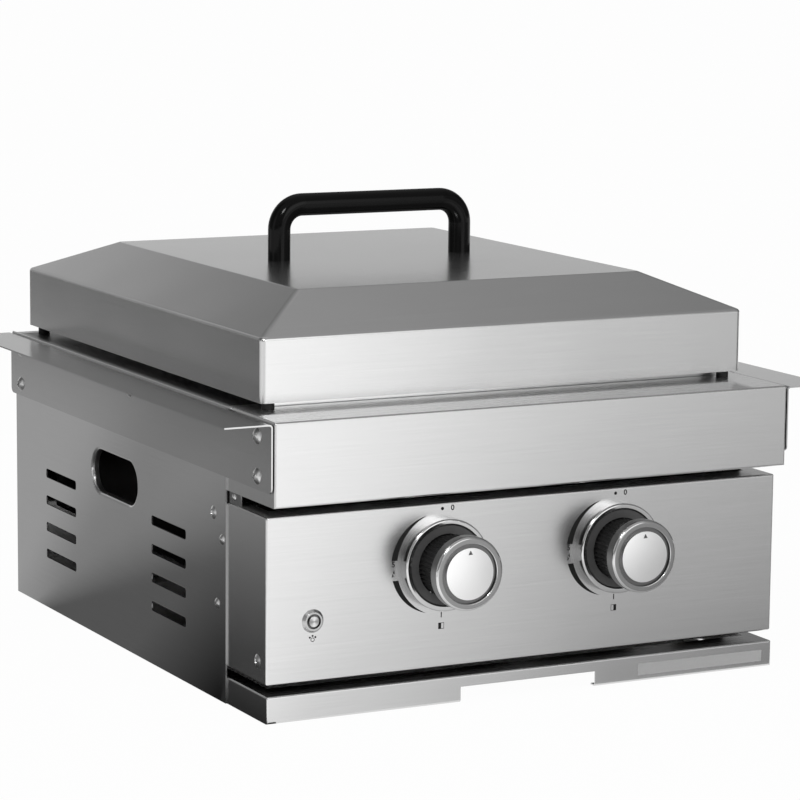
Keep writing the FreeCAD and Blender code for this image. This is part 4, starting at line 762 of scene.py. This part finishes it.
for side, sign in (("left", -1), ("right", 1)):
    x = sign * KNOB_X
    level_band_half(f"{side}_level_band_upper", x, True)
    level_band_half(f"{side}_level_band_lower", x, False)
    dot(f"{side}_off_dot", x, KNOB_Z + OFF_RISE, OFF_DOT_RADIUS)
    figure(f"{side}_off_figure", "0", x + OFF_FIGURE_SHIFT, KNOB_Z + OFF_RISE)
    figure(f"{side}_high_figure", "5", x - HIGH_SHIFT, KNOB_Z + HIGH_FIGURE_RISE)
    spark_sign(f"{side}_spark", x - HIGH_SHIFT, KNOB_Z - SPARK_DROP)
    figure(f"{side}_low_figure", "1", x, KNOB_Z - LOW_DROP)
    burner_sign(f"{side}_burner_sign", x, sign)
lamp_sign()


# Pointer on each knob's disc

POINTER_RADIUS = 2.1 * MM
POINTER_RISE = 16.2 * MM
POINTER_SINK = 1.2 * MM
POINTER_THICKNESS = 0.7 * MM


def pointer(side, x):
    """Small raised triangle near the disc's rim."""
    front_polygon(3, POINTER_RADIUS, x, DISC_FACE + POINTER_SINK, KNOB_Z + POINTER_RISE)
    thicken(POINTER_THICKNESS)
    settle(f"{side}_knob_pointer", pointer_paint, f"{side}_knob")


for side, sign in (("left", -1), ("right", 1)):
    pointer(side, sign * KNOB_X)


# Hems of the cooking opening: on the firebox's rim beside the lid, and on the ledge behind the lid's skirt

HEM_WIDTH = 1.5 * MM
HEM_HEIGHT = 1.2 * MM
HEM_ROUNDING = 0.48 * MM
FRONT_HEM_HEIGHT = 5.0 * MM
FRONT_HEM_SPAN = 412.0 * MM
FRONT_HEM_INSET = 21.0 * MM
# Both hems are lighter than the sheet they stand on: painted highlight lines.
hem_highlight_finish = polished_metal("hem_steel", grey(0.88), 0.45)
front_hem_highlight_finish = polished_metal("front_hem_steel", grey(0.94), 0.28)


def rim_hem(side, middle, size, finish):
    """Low rounded bar that stands on the rim or the ledge."""
    start_fresh()
    bpy.ops.mesh.primitive_cube_add(size=1, location=middle)
    resize(size)
    edit_all()
    bpy.ops.mesh.bevel(offset=HEM_ROUNDING, segments=4)
    bpy.ops.object.mode_set(mode="OBJECT")
    bpy.ops.object.shade_smooth_by_angle(angle=math.radians(40))
    settle(f"{side}_rim_hem", finish, "body")


for side, sign in (("left", -1), ("right", 1)):
    middle = (sign * (RIM_EDGE - HEM_WIDTH / 2), (RIM_FRONT + RIM_REAR) / 2, RIM_HEIGHT + HEM_HEIGHT / 2)
    rim_hem(side, middle, (HEM_WIDTH, RIM_REAR - RIM_FRONT, HEM_HEIGHT), hem_highlight_finish)
rim_hem("front", (0, LID_FRONT + FRONT_HEM_INSET, LEDGE_TOP + FRONT_HEM_HEIGHT / 2),
        (FRONT_HEM_SPAN, HEM_WIDTH, FRONT_HEM_HEIGHT), front_hem_highlight_finish)


# Blank plate on the sill

PLATE_WIDTH = 118.0 * MM
PLATE_HEIGHT = 9.4 * MM
PLATE_THICKNESS = 2 * INK
PLATE_X = 160.0 * MM
PLATE_Z = 9.6 * MM


def sill_plate():
    """Thin oblong plate, from a square of unit size."""
    front_polygon(4, math.sqrt(0.5), PLATE_X, SILL_FACE, PLATE_Z, math.pi / 4)
    resize((PLATE_WIDTH, 1, PLATE_HEIGHT))
    thicken(PLATE_THICKNESS)
    settle("sill_plate", label_film, "body")


sill_plate()


# Studio: pale floor, cards for the metal to reflect, a soft lamp and the photograph's camera

FLOOR_SIZE = 40
FLOOR_HEIGHT = -0.4 * MM
FLOOR_PAINT = 0.86
FLOOR_GLOW = 0.975
UNDER_BODY_HALF_WIDTH = 0.225
UNDER_BODY_HALF_DEPTH = 0.22
UNDER_BODY_MIDDLE = 0.06
BRIGHTEST = 2.0

# Cards: two just over the floor, which meet at an edge in front of the grill, and one upright behind it
FRONT_CARD_HEIGHT = 0.2 * MM
LEFT_CARD_HEIGHT = 0.1 * MM
CARD_EDGE = -0.25
BACK_CARD_DEPTH = 1.3

# Slants on the floor of the front card's shading and of the mirrored sight line, and the grill's left side
FRONT_SLANT = 0.55
SIGHT_SLANT = 1.94
BODY_SIDE = -228.5 * MM


def studio_floor():
    """Pale floor that looks white round the object and stays plain paint under it."""
    start_fresh()
    bpy.ops.mesh.primitive_plane_add(size=FLOOR_SIZE, location=(0, 0, FLOOR_HEIGHT))
    floor = bpy.context.object
    floor.name = "studio_floor"
    finish = Finish("floor_white")
    path = finish.node("ShaderNodeLightPath")
    shown = path.out("Is Camera Ray").math("MAXIMUM", path.out("Is Glossy Ray"))
    shown = shown.math("MAXIMUM", path.out("Is Transmission Ray"))
    position = finish.node("ShaderNodeNewGeometry").out("Position")
    beside = abs(finish.part(position, "X")) > UNDER_BODY_HALF_WIDTH
    beyond = abs(finish.part(position, "Y") - UNDER_BODY_MIDDLE) > UNDER_BODY_HALF_DEPTH
    outside = beside.math("MAXIMUM", beyond)
    paint = finish.node("ShaderNodeBsdfDiffuse", {}, {"Color": (*grey(FLOOR_PAINT), 1)})
    glow = finish.node("ShaderNodeEmission", {}, {"Color": (1, 1, 1, 1), "Strength": 1.0})
    inputs = {0: shown * outside * FLOOR_GLOW, 1: paint.out(0), 2: glow.out(0)}
    finish.end(finish.node("ShaderNodeMixShader", {}, inputs), "ShaderNodeOutputMaterial")
    floor.data.materials.append(finish.material)
    start_fresh()


def shade(finish, level):
    """Grey of a level that may be above 1."""
    return finish.tinted(level * (1 / BRIGHTEST), grey(0.0), grey(BRIGHTEST))


def studio_world():
    """White horizon, grey above, dark at the right, dim behind at the left and round the camera.

    A broad softbox stands low in front. The camera sees plain white.
    """
    world = bpy.data.worlds.new("studio")
    bpy.context.scene.world = world
    finish = Finish("studio", world)
    direction = finish.node("ShaderNodeTexCoord").out("Generated")
    x, y, z = (finish.part(direction, axis) for axis in "XYZ")
    climb = z.rising(0.06, 2.2)
    leftwards = x.falling(0.5, 0.8, -0.08, 0.12)
    rightwards = x.rising(0.72, 6.0, 0.0, 0.85)
    behind_left = x.falling(-0.1, 3.0) * y.rising(0.0, 3.0, 0.0, 0.76)
    level = (0.85 - climb * 0.52 + climb * leftwards) * (1.0 - rightwards) * (1.0 - behind_left)
    in_front = y.falling(0.0, 3.0)
    low_front = in_front * z.falling(0.62, 6.0) * z.rising(0.04, 12.0)
    softbox = x.falling(0.53, 14.0, 0.35, 1.9)
    level = level + low_front * (softbox - level)
    round_camera = x.falling(-0.02, 6.0, 0.0, 0.85) * in_front * z.falling(0.75, 5.0)
    level = level * (1.0 - round_camera)
    seen = finish.node("ShaderNodeLightPath").out("Is Camera Ray")
    colour = shade(finish, level.math("MAXIMUM", seen))
    background = finish.node("ShaderNodeBackground", {}, {"Color": colour, "Strength": 1.0})
    finish.end(background, "ShaderNodeOutputWorld")


def reflector(name, low, high, brightness):
    """Flat card that only reflections show; brightness gives its level from signals of place."""
    start_fresh()
    middle = [(a + b) / 2 for a, b in zip(low, high)]
    upright = high[2] > low[2]
    tilt = math.pi / 2 if upright else 0
    bpy.ops.mesh.primitive_plane_add(size=1, location=middle, rotation=(tilt, 0, 0))
    card = bpy.context.object
    card.name = name
    card.scale = (high[0] - low[0], high[2] - low[2] if upright else high[1] - low[1], 1)
    bpy.ops.object.transform_apply(location=True, rotation=True, scale=True)
    card.visible_camera = False
    card.visible_diffuse = False
    card.visible_shadow = False
    finish = Finish(name)
    colour = shade(finish, brightness(*(finish.along(axis) for axis in "XYZ")))
    glow = finish.node("ShaderNodeEmission", {}, {"Color": colour, "Strength": 1.0})
    finish.end(glow, "ShaderNodeOutputMaterial")
    card.data.materials.append(finish.material)
    start_fresh()


def front_brightness(x, y, z):
    """Brightest at the left, falling to the right, and dimmer close to the grill and straight before it."""
    across = x + (y - CARD_EDGE) * FRONT_SLANT
    far = 0.93 - across * 1.75
    far = far.math("MAXIMUM", 0.82 - across * 0.40).math("MAXIMUM", 0.50 - across * 4.0)
    straight_ahead = across.falling(-0.60, 1.5, 0.0, 0.55)
    near = y.rising(-1.6, 0.27, 0.0, 0.36)
    below_right = y.rising(-0.45, 0.9, 0.0, 0.12) * across.rising(0.0, 2.5)
    return far.clamped(0.1, 1.5) - straight_ahead - near - below_right


def left_brightness(x, y, z):
    """The grill's own shade up to a slanting soft edge, and grey behind it.

    Far out the card serves the lid and the bracket. away is the distance from the grill's side, and along the
    place on that side that mirrors this point.
    """
    away = BODY_SIDE - x
    along = y - away * SIGHT_SLANT
    in_front = -0.165 > along
    dark = (0.105 + along * 0.6 + away * 0.30).clamped(0.012, 0.118)
    dark = dark + in_front * away * 0.45
    lit = 0.31 - along.rising(0.0, 0.4, 0.0, 0.04) + along.rising(0.2, 1.5, 0.0, 0.15)
    share = ((y + x * 0.95).math("DIVIDE", 0.04 + away * 0.7) + 0.45).clamped(0.0, 1.0)
    beside_panel = away.falling(0.08, 1.2, 0.0, 0.08)
    beside_sill = 0.043 > away
    near = dark + share * (lit - dark) + in_front * (beside_panel + beside_sill * (0.012 - beside_panel))
    for_lid = x.falling(-0.86, 12.5)
    far = 0.185 + along.rising(-0.24, 0.03, -0.04, 0.08) - for_lid * 0.04
    far = far + along.rising(0.12, 0.5, 0.0, 0.1) * (1.0 - for_lid)
    rounded_corner = along.falling(-0.9, 1.2, 0.0, 0.7)
    far_out = x.falling(-0.70, 10.0)
    return near + far_out * (far + rounded_corner - near)


def back_brightness(x, y, z):
    """Pale near the floor, greyer higher up, and brighter at the left again far up."""
    low = (0.90 - z * 0.62 - z.rising(0.62, 0.3, 0.0, 0.2)).clamped(0.20, 0.80)
    return low + z.rising(1.3, 0.8) * x.falling(2.35, 0.15, 0.0, 0.25)


def soft_lamp(name, place, target, size, watts):
    start_fresh()
    bpy.ops.object.light_add(type="AREA", location=place)
    lamp = bpy.context.object
    lamp.name = name
    lamp.data.shape = "RECTANGLE"
    lamp.data.size, lamp.data.size_y = size
    lamp.data.energy = watts
    lamp.rotation_euler = (Vector(target) - Vector(place)).to_track_quat("-Z", "Y").to_euler()
    start_fresh()


def photograph_camera():
    """Camera turned by its yaw and pitch, and then rolled about its own line of sight."""
    start_fresh()
    bpy.ops.object.camera_add()
    camera = bpy.context.object
    camera.name = "photograph_camera"
    forward = Vector((math.sin(CAMERA_YAW) * math.cos(CAMERA_PITCH),
                      math.cos(CAMERA_YAW) * math.cos(CAMERA_PITCH),
                      -math.sin(CAMERA_PITCH)))
    right = Vector((math.cos(CAMERA_YAW), -math.sin(CAMERA_YAW), 0))
    up = right.cross(forward)
    rolled_right = right * math.cos(CAMERA_ROLL) + up * math.sin(CAMERA_ROLL)
    rolled_up = up * math.cos(CAMERA_ROLL) - right * math.sin(CAMERA_ROLL)
    turn = Matrix((rolled_right, rolled_up, -forward)).transposed().to_4x4()
    camera.matrix_world = Matrix.Translation(CAMERA_PLACE) @ turn
    camera.data.sensor_width = CAMERA_SENSOR
    camera.data.lens = CAMERA_LENS
    bpy.context.scene.camera = camera
    start_fresh()


studio_floor()
studio_world()
reflector("front_card", low=(-0.9, -4.0, FRONT_CARD_HEIGHT), high=(3.0, CARD_EDGE, FRONT_CARD_HEIGHT),
          brightness=front_brightness)
reflector("left_card", low=(-8.0, CARD_EDGE, LEFT_CARD_HEIGHT), high=(-0.22, 12.0, LEFT_CARD_HEIGHT),
          brightness=left_brightness)
reflector("back_card", low=(-0.4, BACK_CARD_DEPTH, 0.02), high=(3.2, BACK_CARD_DEPTH, 3.2),
          brightness=back_brightness)
soft_lamp("front_softbox", place=(-1.2, -1.6, 1.9), target=(0.0, 0.0, 0.15), size=(0.5, 0.5), watts=16)
photograph_camera()
bpy.context.scene.view_settings.view_transform = "Standard"
